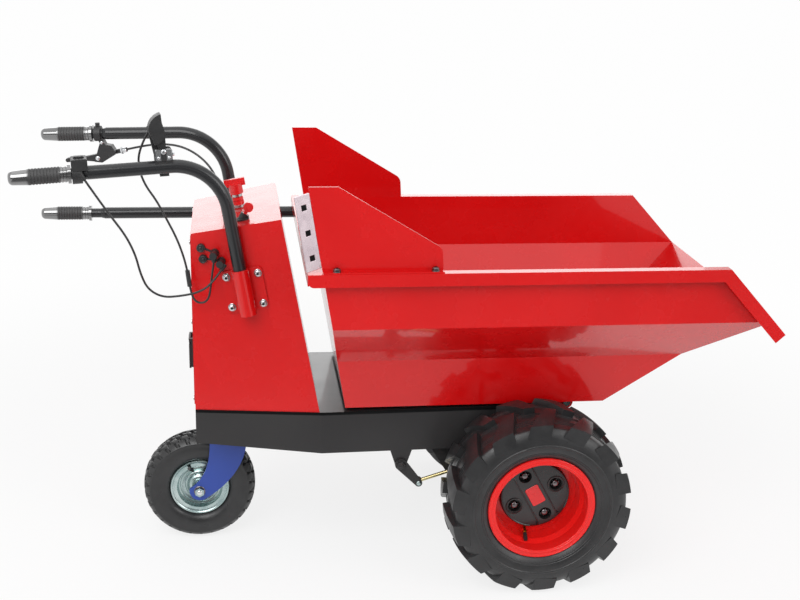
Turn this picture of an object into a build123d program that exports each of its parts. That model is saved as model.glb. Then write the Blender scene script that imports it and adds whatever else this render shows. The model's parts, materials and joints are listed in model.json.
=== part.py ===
from build123d import *

import os
from math import atan2, cos, degrees, hypot, pi, radians, sin, tan

# Electric mini dumper with a tipping hopper, two drive wheels and a swivelling caster.
# X points to the dumping end, Y to the operator's left, Z up, in millimetres.
# The origin is on the floor under the middle of the machine's length.
# "right" is the operator's right hand, which is the -Y side.

os.makedirs("parts", exist_ok=True)

# Clearances
running_gap = 0.06  # radial, between a shaft and its bore
soft_gap = 0.25  # between a soft piece and what it sits on
part_gap = 0.3  # between pieces that move past each other

# Drive wheels
axle_x = 294.0
wheel_centre_y = 265.0
tyre_radius = 200.0
tyre_width = 160.0
tread_width = 144.0
tread_depth = 14.0
shoulder_drop = 9.0
carcass = 9.0
lug_count = 14
lug_width = 50.0  # at the shoulder
lug_inner_width = 25.0
lug_inner = 3.0  # from the tread's middle to the lug's inner end
lug_angle = 25.0
shoulder_step = 8.0  # the carcass's edge lies this far inside the lugs' ends
sidewall_ring = 1.6  # height of the moulded ring on the sidewall
rim_width = 136.0
rim_flange_radius = 114.5
rim_seat_radius = 102.0
rim_well_radius = 96.0
rim_well_outer = 24.0
rim_well_inner = 14.0
rim_well_slope = 12.0
bead_width = 18.0
crown_drop = 4.0
rim_wall = 3.5
rim_lip_round = 2.4
cover_depth = 61.0
cover_radius = 76.0
cover_thickness = 15.0
cover_band_width = 46.0
cover_band_rise = 2.5
cover_tilt = 29.0  # the band's lean from upright
lug_bolt_circle = 100.0
lug_bolt_count = 4
lug_bolt_head = 19.0
lug_bolt_head_height = 9.0
lug_bolt_radius = 6.0
lug_bolt_well_radius = 14.0
axle_radius = 12.5
axle_inner_y = 100.0
axle_flange_radius = 66.0
axle_flange_thickness = 10.0
axle_spigot_radius = 29.0

# Chassis tray and deck
chassis_wall = 4.0
chassis_bottom_z = 272.0
chassis_top_z = 360.0
chassis_rear_x = axle_x - 715.0
chassis_kink_x = axle_x - 450.0
chassis_front_x = axle_x + 70.0
chassis_rear_half = 147.0
chassis_kink_half = 182.0
chassis_front_half = 173.0
chassis_rear_rise = 18.0
deck_thickness = 6.0

# Transaxle and its brackets
bracket_inner_y = 150.0
bracket_thickness = 8.0
bracket_top_rear = 215.0
bracket_low_rear = 150.0
bracket_top_front = 70.0
bracket_low_front = 60.0
bracket_low_z = 168.0
axle_tube_radius = 25.0
axle_tube_end_y = 192.0
backing_plate_radius = 85.0
backing_plate_thickness = 5.0
gearcase_width = 90.0
gearcase_offset_y = -30.0
gearcase_radius = 64.0
motor_ahead = 112.0
motor_above = 16.0
motor_radius = 52.0
motor_length = 125.0
motor_cap_radius = 40.0
motor_cap_length = 12.0
motor_ring_count = 7
motor_ring_depth = 2.5
motor_ring_width = 8.0

# Caster
caster_axle_x = axle_x - 714.0
swivel_x = axle_x - 648.0
caster_radius = 125.0
caster_width = 74.0
caster_flange_radius = 66.0
caster_seat_radius = 54.0
caster_rim_width = 50.0
caster_rim_wall = 3.0
caster_hub_radius = 18.0
caster_hub_width = 80.0
caster_axle_radius = 8.0
caster_carcass = 10.0
caster_bead_width = 12.0
caster_tread_half = 30.0
caster_shoulder_drop = 8.0
fork_inner_y = 42.0
fork_wall = 5.0
fork_crown_z = 258.0
fork_crown_wall = 6.0
fork_crown_front = 39.0
fork_crown_rear = 42.0
race_radius = 34.0
race_height = 5.0
kingpin_radius = 8.0
kingpin_nut_radius = 13.0
kingpin_nut_height = 7.0
caster_plate_length = 112.0
caster_plate_width = 92.0
caster_plate_wall = 6.0
caster_bolt_spacing_x = 86.0
caster_bolt_spacing_y = 66.0

# Battery and control box
sheet = 3.0
box_rear_x = chassis_rear_x
box_front_x = axle_x - 455.0
box_top_front_x = axle_x - 534.0
box_rear_top_z = 750.0
box_front_top_z = 784.0
box_inset = 2.0
cover_margin = 14.0
cover_wall = 2.0
battery_length = 98.0
battery_width = 230.0
battery_height = 210.0
battery_clearance = 3.0
terminal_radius = 8.0
terminal_height = 10.0
controller_length = 90.0
controller_width = 150.0
controller_height = 60.0
controller_fin_count = 8
controller_fin_depth = 14.0
controller_fin_width = 4.0

# Handlebars, given for the right side
bar_radius = 13.45
bar_wall = 2.5
bar_end_radius = 11.0
bar_bend_radius = 105.0
bar_foot = Vector(axle_x - 602.0, -183.0, 588.0)
bar_knee = Vector(axle_x - 656.0, -166.0, 900.0)
bar_tip = Vector(axle_x - 1040.0, -225.2, 883.0)
bar_step = 136.0  # length of the thinner end that takes the grip
bar_cone = 9.0
socket_length = 96.0
socket_wall = 4.0
socket_plate_width = 84.0
socket_plate_height = 90.0
socket_plate_wall = 5.0
socket_plate_corner = 8.0
socket_bolt_spacing = 65.0

# Grips
grip_length = 116.0
grip_radius = 15.6
grip_end_radius = 13.6
grip_collar_radius = 18.5
grip_collar_width = 6.0
grip_plain_end = 38.0
grip_ribs = 12
grip_rib_depth = 0.9
grip_cap = 10.0  # length of the closed end beyond the bar
grip_end_round = 9.0

# Bolts
bolt_radius = 4.0
bolt_head = 13.0
bolt_head_height = 5.5
screw_radius = 3.0
screw_head_radius = 5.5
screw_head_height = 2.6

# Hopper
pad_height = 10.0
pad_radius = 20.0
floor_z = chassis_top_z + deck_thickness + pad_height
floor_rear_x = axle_x - 401.0
floor_front_x = axle_x + 161.0
floor_half = 182.0
lower_fold_z = 489.0
lower_fold_half = 203.0
upper_fold_z = 595.0
upper_fold_half = 308.0
lip_x = axle_x + 469.0
rim_z = 716.0
rim_half = 314.0
rim_ledge = 18.0
rim_drop = 26.0
rim_front_x = axle_x + 357.0
rim_rear_x = axle_x - 461.0
rear_ledge = 29.0
rim_corner = 12.0
lip_run_on = 27.6
hinge_x = axle_x + 100.0
hinge_z = 346.0
hinge_y = 100.0
hinge_pin_radius = 8.0
hinge_eye_radius = 14.0
hinge_ear_width = 12.0
hinge_lug_width = 8.0
hinge_side_gap = 1.0

# Side wings of the hopper
wing_height = 168.0
wing_top_length = 57.0
wing_low_length = 236.0
wing_front_height = 46.0
wing_corner = 22.0
wing_foot = 16.0
wing_rear_lean = 28.0
wing_bolt_rear = 27.0
wing_bolt_front = 17.0
rack_width = 34.0
rack_height = 150.0
rack_splay = 30.0
rack_hole = 11.0
rack_hole_count = 3

# Tipping handle on the hopper's left side
tip_tip_x = axle_x - 1076.0
tip_front_x = axle_x - 215.0

# Controls
switch_x = 117.0  # distance from the bar's tip to the middle of the clamp
switch_ring_radius = 20.0
switch_ring_width = 19.0
switch_box_length = 30.0
switch_box_width = 40.0
switch_box_height = 22.0
switch_box_seat = 8.0
rocker_length = 18.0
rocker_width = 11.0
rocker_depth = 7.0
rocker_rise = 3.5
gland_radius = 4.6
gland_length = 16.0
throttle_x = 282.0
throttle_saddle_radius = 19.0
throttle_ring_width = 18.0
throttle_tower = 38.0
throttle_tower_width = 34.0
throttle_cheek = 4.0
throttle_arm_width = 14.0
throttle_pivot_radius = 4.0
throttle_pad_width = 28.0
brake_x = 117.0
brake_ring_radius = 17.0
brake_ring_width = 14.0
brake_drop = 54.0
brake_pivot_along = 3.0
brake_cheek = 4.0
brake_blade_width = 12.0
brake_blade_length = 74.0
brake_blade_height = 9.0
brake_pivot_radius = 3.5
brake_body_length = 29.0
adjuster_radius = 5.0
adjuster_length = 30.0

# Key switches on the box top, measured along the sloping top and across it
isolator_along = 101.0
isolator_across = 0.0
isolator_base_radius = 12.0
isolator_base_height = 16.0
isolator_neck_radius = 9.0
isolator_neck_height = 15.0
isolator_skirt_radius = 14.5
isolator_skirt_height = 21.0
isolator_wing_length = 44.0
isolator_wing_width = 9.0
isolator_wing_height = 16.0
isolator_stem_radius = 5.0
starter_along = 105.0
starter_across = -108.0
starter_tilt = 38.0
starter_radius = 9.0
starter_height = 14.0
starter_key_head = 20.0
starter_key_wall = 7.0
starter_blade_length = 10.0
starter_blade_width = 7.0
starter_blade_wall = 2.4

# Charging inlet on the rear cover
inlet_z = 466.0
inlet_y = -60.0
inlet_width = 46.0
inlet_height = 60.0
inlet_depth = 6.0
inlet_bore_radius = 16.0
cap_wall = 4.0
cap_hinge_radius = 3.0

# Brake linkage under the right side, measured from the drive axle
crank_pivot = Vector(axle_x - 278.5, 0, 240.0)
crank_end = Vector(axle_x - 238.5, 0, 194.0)
crank_wall = 5.5
crank_eye_radius = 13.0
crank_tip_radius = 8.0
crank_shaft_radius = 5.0
crank_ear_wall = 5.0
crank_ear_length = 50.0
crank_outer_y = 184.0
rod_y = 171.0
rod_radius = 4.0
rod_eye_radius = 9.0
rod_eye_wall = 8.0
link_pin_radius = 4.0
open_pin_gap = 1.6
arm_pivot = Vector(axle_x - 62.0, 0, 206.0)
arm_end = Vector(axle_x - 72.0, 0, 246.0)
arm_wall = 5.0
arm_eye_radius = 10.0
arm_shaft_radius = 5.0

# Panel sockets on the box's right side, measured along the side and above the deck
socket_pair = ((48.0, 346.0), (61.0, 329.0))
dust_cap_pair = ((20.0, 356.0), (24.0, 333.0))
panel_socket_radius = 8.5
panel_socket_height = 10.0
plug_radius = 7.5
plug_height = 20.0
plug_tail_radius = 4.6
plug_tail_length = 15.0
dust_cap_radius = 8.5
dust_cap_height = 8.0
strap_width = 4.0
strap_wall = 1.6

# Cables: the points are in millimetres in the machine's own frame
cable_radius = 2.2
brake_cable_radius = 2.4
cable_sleeve_radius = 4.6
cable_sleeve_length = 34.0
cable_bite = 1.5  # how far a cable's end goes into the piece that holds it
direction_route = [
    (-615, -222, 878),
    (-593, -220, 842),
    (-569, -217, 804),
    (-544, -213, 766),
    (-527, -210, 726),
    (-519, -206, 685),
    (-506, -203, 652),
    (-478, -200, 634),
    (-444, -197, 635),
    (-408, -192, 640),
    (-381, -185, 655),
    (-362, -176, 681),
]
throttle_route = [
    (-496, -162, 962),
    (-514, -163, 930),
    (-519, -164, 893),
    (-507, -165, 856),
    (-485, -167, 824),
    (-468, -168, 789),
    (-450, -169, 752),
    (-437, -170, 715),
    (-429, -171, 681),
    (-425, -172, 648),
    (-420, -172, 624),
    (-411, -173, 613),
    (-397, -173, 612),
    (-387, -173, 622),
    (-383, -173, 646),
    (-380, -174, 671),
    (-376, -174, 698),
]
brake_route = [
    (-570, 203, 853),
    (-531, 191, 864),
    (-490, 176, 871),
    (-450, 159, 870),
    (-415, 140, 857),
    (-386, 121, 834),
    (-367, 105, 802),
    (-361, 105, 770),
]
grommet_radius = 8.0
grommet_height = 8.6
grommet_along = 62.5
grommet_across = 105.0

# Values that follow from the sizes above
axle_z = tyre_radius
caster_axle_z = caster_radius
deck_top_z = chassis_top_z + deck_thickness
rim_outer_half = rim_half + rim_ledge
rear_ledge_x = rim_rear_x - rear_ledge
lip_z = upper_fold_z
rim_fall = Vector(lip_x - rim_front_x, 0, lip_z - rim_z)
rim_turn = atan2(-rim_fall.Z, rim_fall.X)
lip_end = Vector(lip_x, 0, lip_z) + rim_fall.normalized() * lip_run_on
rear_wall_slope = (rim_rear_x - floor_rear_x) / (rim_z - floor_z)
upper_wall_slope = (rim_half - upper_fold_half) / (rim_z - upper_fold_z)
taper = (chassis_kink_half - chassis_rear_half) / (chassis_kink_x - chassis_rear_x)
taper_angle = atan2(taper, 1)
box_top_angle = atan2(box_front_top_z - box_rear_top_z, box_top_front_x - box_rear_x)
far = 2000.0  # longer than the machine, for cutting bodies right through

ALONG_Z = (Align.CENTER, Align.CENTER, Align.MIN)


def save(piece, name):
    """Labels a finished piece and writes its STEP file."""
    piece.part.label = name
    export_step(piece.part, f"parts/{name}.step")


def save_pair(piece, name):
    """Writes a right hand piece and its mirror image."""
    save(piece, f"{name}_right")
    with BuildPart() as other_hand:
        mirror(piece.part, about=Plane.XZ)
    save(other_hand, f"{name}_left")


def chassis_half(x):
    """Half the width of the tapered rear half of the chassis."""
    return chassis_rear_half + taper * (x - chassis_rear_x)


def box_half(x):
    return chassis_half(x) - box_inset


def rod_between(start, end, radius, mode=Mode.ADD):
    """A round bar from one point to another, in the part that is being built."""
    axis = Vector(end) - Vector(start)
    with Locations(Plane(origin=start, z_dir=axis)):
        Cylinder(radius, axis.length, align=ALONG_Z, mode=mode)


def cross_bar(x, z, radius, y_from, y_to, mode=Mode.ADD):
    """A round bar across the machine."""
    rod_between((x, y_from, z), (x, y_to, z), radius, mode)


def block(x_range, y_range, z_range, mode=Mode.ADD):
    """A rectangular block between the given limits."""
    middle = [(low + high) / 2 for low, high in (x_range, y_range, z_range)]
    size = [high - low for low, high in (x_range, y_range, z_range)]
    with Locations(tuple(middle)):
        Box(*size, mode=mode)


def hex_bolt(head, head_height, radius, length):
    """A bolt with its head standing on Z = 0 and its shank below."""
    with BuildPart() as bolt:
        with BuildSketch():
            RegularPolygon(head / 2, 6, major_radius=False)
        extrude(amount=head_height)
        with Locations((0, 0, -length)):
            Cylinder(radius, length, align=ALONG_Z)
    return bolt.part


def pan_screw(length):
    """A round headed screw with its head standing on Z = 0."""
    with BuildPart() as screw:
        Cylinder(screw_head_radius, screw_head_height, align=ALONG_Z)
        fillet(screw.edges().group_by(Axis.Z)[-1], screw_head_height / 2)
        with Locations((0, 0, -length)):
            Cylinder(screw_radius, length, align=ALONG_Z)
    return screw.part


def tyre_section(bead_r, lip_r, bead_half, bead, bulge_r, half, edge_r, edge_half, crown_r, wall):
    """The hollow section of a tyre: radius along X, width along Y."""
    with BuildSketch() as section:
        with BuildLine():
            Line((bead_r, bead_half), (lip_r, bead_half))
            ThreePointArc((lip_r, bead_half), (bulge_r, half), (edge_r, edge_half))
            ThreePointArc(
                (lip_r, bead_half - bead), (bulge_r, half - wall), (edge_r - wall, edge_half - wall)
            )
            Line((lip_r, bead_half - bead), (bead_r, bead_half - bead))
            Line((bead_r, bead_half - bead), (bead_r, bead_half))
            mirror(about=Plane.XZ)
            ThreePointArc((edge_r, edge_half), (crown_r, 0), (edge_r, -edge_half))
            ThreePointArc(
                (edge_r - wall, edge_half - wall), (crown_r - wall, 0), (edge_r - wall, wall - edge_half)
            )
        make_face()
    return section.sketch


def cord_tube(route, radius, name):
    """A cable along straight runs and the largest tangent arcs that they allow."""
    points = [Vector(point) for point in route]
    runs = [after - before for before, after in zip(points, points[1:])]
    radii = []
    for run, next_run in zip(runs, runs[1:]):
        turn = radians(run.get_angle(next_run))
        shorter = min(run.length, next_run.length)
        radii.append(0.45 * shorter / tan(turn / 2))
    points[0] = points[0] - runs[0].normalized() * cable_bite
    points[-1] = points[-1] + runs[-1].normalized() * cable_bite
    with BuildPart() as tube:
        with BuildLine() as path:
            FilletPolyline(*points, radius=radii)
        with BuildSketch(Plane(origin=path.line @ 0, z_dir=path.line % 0)):
            Circle(radius)
        sweep()
    length = path.wires()[0].length
    expected = pi * radius**2 * length
    print(name, "length", round(length), "least radius", round(min(radii), 1))
    print(name, "volume over expected", round(tube.part.volume / expected, 4))
    return tube


# Chassis tray with the brackets that are welded to it
chassis_plan = [
    (chassis_rear_x, chassis_rear_half),
    (chassis_kink_x, chassis_kink_half),
    (chassis_front_x, chassis_front_half),
    (chassis_front_x, -chassis_front_half),
    (chassis_kink_x, -chassis_kink_half),
    (chassis_rear_x, -chassis_rear_half),
]
chassis_side = [
    (chassis_rear_x, chassis_bottom_z + chassis_rear_rise),
    (chassis_kink_x, chassis_bottom_z),
    (chassis_front_x, chassis_bottom_z),
    (chassis_front_x, chassis_top_z),
    (chassis_rear_x, chassis_top_z),
]
chassis_open_side = [
    (chassis_rear_x, chassis_bottom_z + chassis_rear_rise + chassis_wall),
    (chassis_kink_x, chassis_bottom_z + chassis_wall),
    (chassis_front_x, chassis_bottom_z + chassis_wall),
    (chassis_front_x, far),
    (chassis_rear_x, far),
]
caster_seat_z = fork_crown_z + fork_crown_wall + 2 * race_height + part_gap + caster_plate_wall
swivel_plane = Plane((swivel_x, 0, caster_seat_z))
ear_inner_y = crank_outer_y - crank_wall - part_gap - crank_ear_wall

with BuildPart() as chassis_hollow:
    with BuildSketch():
        Polygon(*chassis_plan, align=None)
        offset(amount=-chassis_wall, kind=Kind.INTERSECTION, mode=Mode.REPLACE)
    extrude(amount=far)
    with BuildSketch(Plane.XZ):
        Polygon(*chassis_open_side, align=None)
    extrude(amount=far, both=True, mode=Mode.INTERSECT)

with BuildPart() as chassis_frame:
    with BuildSketch():
        Polygon(*chassis_plan, align=None)
    extrude(amount=chassis_top_z)
    with BuildSketch(Plane.XZ):
        Polygon(*chassis_side, align=None)
    extrude(amount=far, both=True, mode=Mode.INTERSECT)
    add(chassis_hollow.part, mode=Mode.SUBTRACT)
    # Level seat for the caster under the sloping floor of the tray
    seat_x = (swivel_x - caster_plate_length / 2, swivel_x + caster_plate_length / 2)
    with BuildSketch(Plane.XZ):
        Polygon(
            (seat_x[0], caster_seat_z),
            (seat_x[1], caster_seat_z),
            (seat_x[1], chassis_bottom_z + chassis_rear_rise),
            (seat_x[0], chassis_bottom_z + chassis_rear_rise),
            align=None,
        )
    extrude(amount=caster_plate_width / 2, both=True)
    # Plates that carry the axle tubes
    for plate_y in (bracket_inner_y, -bracket_inner_y - bracket_thickness):
        with BuildSketch(Plane.XZ.offset(plate_y)):
            Polygon(
                (axle_x - bracket_top_rear, chassis_bottom_z + chassis_wall / 2),
                (axle_x - bracket_low_rear, bracket_low_z),
                (axle_x + bracket_low_front, bracket_low_z),
                (axle_x + bracket_top_front, chassis_bottom_z + chassis_wall / 2),
                align=None,
            )
            with Locations((axle_x, axle_z)):
                Circle(axle_tube_radius + running_gap, mode=Mode.SUBTRACT)
        extrude(amount=bracket_thickness)
    # Ears for the hopper's hinge
    for side in (1, -1):
        with BuildSketch(Plane.XZ.offset(side * hinge_y - hinge_ear_width / 2)):
            with Locations((hinge_x, hinge_z)):
                Circle(hinge_eye_radius)
            Polygon(
                (chassis_front_x - chassis_wall / 2, hinge_z - hinge_eye_radius),
                (hinge_x, hinge_z - hinge_eye_radius),
                (hinge_x, hinge_z + hinge_eye_radius),
                (chassis_front_x - chassis_wall / 2, min(hinge_z + hinge_eye_radius, chassis_top_z)),
                align=None,
            )
            with Locations((hinge_x, hinge_z)):
                Circle(hinge_pin_radius + running_gap, mode=Mode.SUBTRACT)
        extrude(amount=hinge_ear_width)
    # Ear for the brake crank on the right
    with BuildSketch(Plane.XZ.offset(ear_inner_y)):
        with Locations((crank_pivot.X, crank_pivot.Z)):
            Circle(crank_eye_radius)
        Polygon(
            (crank_pivot.X - crank_eye_radius, crank_pivot.Z),
            (crank_pivot.X + crank_eye_radius, crank_pivot.Z),
            (crank_pivot.X + crank_ear_length / 2, chassis_bottom_z + chassis_wall),
            (crank_pivot.X - crank_ear_length / 2, chassis_bottom_z + chassis_wall),
            align=None,
        )
        with Locations((crank_pivot.X, crank_pivot.Z)):
            Circle(crank_shaft_radius + running_gap, mode=Mode.SUBTRACT)
    extrude(amount=crank_ear_wall)
    # Bolt holes for the caster plate
    with Locations(swivel_plane):
        with GridLocations(caster_bolt_spacing_x, caster_bolt_spacing_y, 2, 2):
            Cylinder(bolt_radius + soft_gap, far / 40, mode=Mode.SUBTRACT)
save(chassis_frame, "chassis_frame")

with BuildPart() as deck_plate:
    with BuildSketch(Plane.XY.offset(chassis_top_z)):
        Polygon(*chassis_plan, align=None)
    extrude(amount=deck_thickness)
save(deck_plate, "deck_plate")

with BuildPart() as rest_pads:
    with Locations((axle_x, 0, deck_top_z)):
        with Locations((-335, 120), (-335, -120), (-30, 120), (-30, -120)):
            Cylinder(pad_radius, pad_height - soft_gap, align=ALONG_Z)
            Cylinder(pad_radius / 3, pad_height, align=ALONG_Z, mode=Mode.SUBTRACT)
save(rest_pads, "rest_pads")

# Transaxle with the motor ahead of it
gearcase_y = (gearcase_offset_y - gearcase_width / 2, gearcase_offset_y + gearcase_width / 2)
motor_x = axle_x + motor_ahead
motor_z = axle_z + motor_above
with BuildPart() as transaxle_housing:
    with BuildSketch(Plane.XZ.offset(-gearcase_y[1])):
        with Locations((axle_x, axle_z)):
            Circle(gearcase_radius)
        with Locations((motor_x, motor_z)):
            Circle(motor_radius)
        make_hull()
    extrude(amount=gearcase_width)
    chamfer(transaxle_housing.faces().filter_by(Axis.Y).edges(), carcass)
    cross_bar(axle_x, axle_z, axle_tube_radius, -axle_tube_end_y, axle_tube_end_y)
    for side in (1, -1):
        plate_y = side * (axle_tube_end_y - backing_plate_thickness)
        cross_bar(axle_x, axle_z, backing_plate_radius, plate_y, side * axle_tube_end_y)
        bore_y = side * (axle_inner_y - part_gap)
        cross_bar(
            axle_x, axle_z, axle_radius + running_gap, bore_y, side * axle_tube_end_y, Mode.SUBTRACT
        )
    cross_bar(
        arm_pivot.X,
        arm_pivot.Z,
        arm_shaft_radius + running_gap,
        backing_plate_thickness - axle_tube_end_y,
        -axle_tube_end_y,
        Mode.SUBTRACT,
    )
save(transaxle_housing, "transaxle_housing")

motor_start = gearcase_y[1]
with BuildPart() as drive_motor:
    cross_bar(motor_x, motor_z, motor_radius, motor_start, motor_start + motor_length)
    ring_step = motor_length / (motor_ring_count + 1)
    for ring in range(motor_ring_count):
        ring_y = motor_start + ring_step * (ring + 1)
        with Locations(Plane((motor_x, ring_y, motor_z), z_dir=(0, 1, 0))):
            Cylinder(motor_radius, motor_ring_width / 2, mode=Mode.SUBTRACT)
            Cylinder(motor_radius - motor_ring_depth, motor_ring_width / 2)
    cap_start = motor_start + motor_length
    cross_bar(motor_x, motor_z, motor_cap_radius, cap_start, cap_start + motor_cap_length)
save(drive_motor, "drive_motor")

# Drive wheels, built on the right and mirrored to the left
wheel_origin = (axle_x, -wheel_centre_y, axle_z)
wheel_axis = Axis(wheel_origin, (0, -1, 0))
spin_plane = Plane(wheel_origin, x_dir=(1, 0, 0), z_dir=(0, -1, 0))
profile_plane = Plane(wheel_origin, x_dir=(1, 0, 0), z_dir=(0, 0, -1))
rim_half_width = rim_width / 2
cover_face = rim_half_width - cover_depth
disc_face = cover_face - cover_thickness
disc_back = disc_face - rim_wall
tread_half = tread_width / 2
carcass_half = tread_half - shoulder_step
tyre_half = tyre_width / 2
wall_half = tyre_half - sidewall_ring
shoulder_radius = tyre_radius - shoulder_drop
crown_radius = tyre_radius - tread_depth
edge_radius = crown_radius - crown_drop
bead_radius = rim_seat_radius + soft_gap
bead_half = rim_half_width - rim_wall - soft_gap
bulge_radius = (bead_radius + shoulder_radius) / 2
lug_foot_radius = bulge_radius + tread_depth

# The lugs are bars cut to the rounded outline of the tread, rooted half way into the carcass
with BuildPart() as tread_outline:
    with BuildSketch(profile_plane):
        with BuildLine():
            Polyline(
                (shoulder_radius, tread_half),
                (lug_foot_radius, tyre_half - carcass / 3),
                (lug_foot_radius, tyre_half - carcass),
                (edge_radius - carcass / 2, carcass_half - carcass / 2),
            )
            mirror(about=Plane.XZ)
            ThreePointArc((shoulder_radius, tread_half), (tyre_radius, 0), (shoulder_radius, -tread_half))
            ThreePointArc(
                (edge_radius - carcass / 2, carcass_half - carcass / 2),
                (crown_radius - carcass / 2, 0),
                (edge_radius - carcass / 2, carcass / 2 - carcass_half),
            )
        make_face()
    revolve(axis=wheel_axis)


def tread_lug(half):
    """A lug that widens and sweeps back from the tread's middle to one shoulder."""
    sweep = tan(radians(lug_angle))
    ends = [(lug_inner, lug_inner_width / 2), (tyre_half, lug_width / 2)]
    corners = [(sweep * along - width, half * along) for along, width in ends]
    corners += [(sweep * along + width, half * along) for along, width in reversed(ends)]
    with BuildPart() as lug:
        with BuildSketch(Plane.YZ):
            Polygon(*corners, align=None)
        extrude(amount=2 * tread_depth, both=True)
    return lug.part


with BuildPart() as drive_tyre:
    with Locations(spin_plane):
        for half in (1, -1):
            with PolarLocations(crown_radius, lug_count, start_angle=half * 90 / lug_count):
                add(tread_lug(half))
    add(tread_outline.part, mode=Mode.INTERSECT)
    with BuildSketch(profile_plane):
        add(
            tyre_section(
                bead_radius,
                rim_flange_radius + part_gap,
                bead_half,
                bead_width,
                bulge_radius,
                wall_half,
                edge_radius,
                carcass_half,
                crown_radius,
                carcass,
            )
        )
    revolve(axis=wheel_axis)
    with Locations(spin_plane):
        with Locations((0, 0, tyre_half - 2 * sidewall_ring), (0, 0, 2 * sidewall_ring - tyre_half)):
            Torus(bulge_radius, 2 * sidewall_ring)
save_pair(drive_tyre, "drive_tyre")

band_angle = 90 + cover_tilt
with BuildPart() as drive_rim:
    inner_seat = rim_seat_radius - rim_wall
    inner_well = rim_well_radius - rim_wall
    with BuildSketch(profile_plane):
        Polygon(
            (rim_flange_radius, rim_half_width),
            (rim_flange_radius, rim_half_width - rim_wall),
            (rim_seat_radius, rim_half_width - rim_wall),
            (rim_seat_radius, rim_well_outer + rim_well_slope),
            (rim_well_radius, rim_well_outer),
            (rim_well_radius, -rim_well_inner),
            (rim_seat_radius, -rim_well_inner - rim_well_slope),
            (rim_seat_radius, rim_wall - rim_half_width),
            (rim_flange_radius, rim_wall - rim_half_width),
            (rim_flange_radius, -rim_half_width),
            (inner_seat, -rim_half_width),
            (inner_seat, -rim_well_inner - rim_well_slope - rim_wall / 2),
            (inner_well, -rim_well_inner - rim_wall / 2),
            (inner_well, rim_well_outer + rim_wall / 2),
            (inner_seat, rim_well_outer + rim_well_slope + rim_wall / 2),
            (inner_seat, rim_half_width),
            align=None,
        )
        Polygon(
            (axle_spigot_radius + soft_gap, disc_back),
            (axle_spigot_radius + soft_gap, disc_face),
            (rim_well_radius - rim_wall / 2, disc_face),
            (rim_well_radius - rim_wall / 2, disc_back),
            align=None,
        )
    revolve(axis=wheel_axis)
    fillet(drive_rim.edges().group_by(Axis.Y)[0], rim_lip_round)
    with Locations(spin_plane):
        with PolarLocations(lug_bolt_circle / 2, lug_bolt_count, start_angle=band_angle):
            Cylinder(lug_bolt_radius + soft_gap, rim_width, mode=Mode.SUBTRACT)
save_pair(drive_rim, "drive_rim")

with BuildPart() as hub_cover:
    with Locations(spin_plane.offset(disc_face)):
        Cylinder(cover_radius, cover_thickness - cover_band_rise, align=ALONG_Z)
        fillet(hub_cover.edges().group_by(Axis.Y)[0], cover_thickness / 3)
    with Locations(spin_plane.offset(disc_face)):
        with Locations(Location((0, 0, 0), (0, 0, band_angle))):
            Box(2 * cover_radius - cover_thickness, cover_band_width, cover_thickness, align=ALONG_Z)
        with PolarLocations(lug_bolt_circle / 2, lug_bolt_count, start_angle=band_angle):
            Cylinder(lug_bolt_well_radius, rim_width, mode=Mode.SUBTRACT)
save_pair(hub_cover, "hub_cover")

with BuildPart() as lug_bolts:
    bolt = hex_bolt(
        lug_bolt_head, lug_bolt_head_height, lug_bolt_radius, rim_wall + axle_flange_thickness
    )
    with Locations(spin_plane.offset(disc_face)):
        with PolarLocations(lug_bolt_circle / 2, lug_bolt_count, start_angle=band_angle):
            add(bolt)
save_pair(lug_bolts, "lug_bolts")

with BuildPart() as axle_shaft:
    with Locations(spin_plane.offset(disc_back - axle_flange_thickness)):
        Cylinder(axle_flange_radius, axle_flange_thickness, align=ALONG_Z)
        Cylinder(axle_spigot_radius, axle_flange_thickness + rim_wall, align=ALONG_Z)
        with PolarLocations(lug_bolt_circle / 2, lug_bolt_count, start_angle=band_angle):
            Cylinder(lug_bolt_radius + soft_gap, rim_width, mode=Mode.SUBTRACT)
    shaft_end_y = -wheel_centre_y - disc_back
    cross_bar(axle_x, axle_z, axle_radius, -axle_inner_y, shaft_end_y)
save_pair(axle_shaft, "axle_shaft")

# Caster
plate_bottom_z = caster_seat_z - caster_plate_wall
upper_race_z = plate_bottom_z - race_height
crown_top_z = fork_crown_z + fork_crown_wall
nut_top_z = fork_crown_z - part_gap
with BuildPart() as caster_plate:
    with Locations((swivel_x, 0, plate_bottom_z)):
        Box(caster_plate_length, caster_plate_width, caster_plate_wall, align=ALONG_Z)
        fillet(caster_plate.edges().filter_by(Axis.Z), caster_plate_wall)
    rod_between((swivel_x, 0, upper_race_z), (swivel_x, 0, plate_bottom_z), race_radius)
    nut_low_z = nut_top_z - kingpin_nut_height
    rod_between((swivel_x, 0, nut_low_z), (swivel_x, 0, plate_bottom_z), kingpin_radius)
    rod_between((swivel_x, 0, nut_low_z), (swivel_x, 0, nut_top_z), kingpin_nut_radius)
    with Locations(swivel_plane):
        with GridLocations(caster_bolt_spacing_x, caster_bolt_spacing_y, 2, 2):
            Cylinder(bolt_radius + soft_gap, far / 40, mode=Mode.SUBTRACT)
save(caster_plate, "caster_plate")

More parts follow.
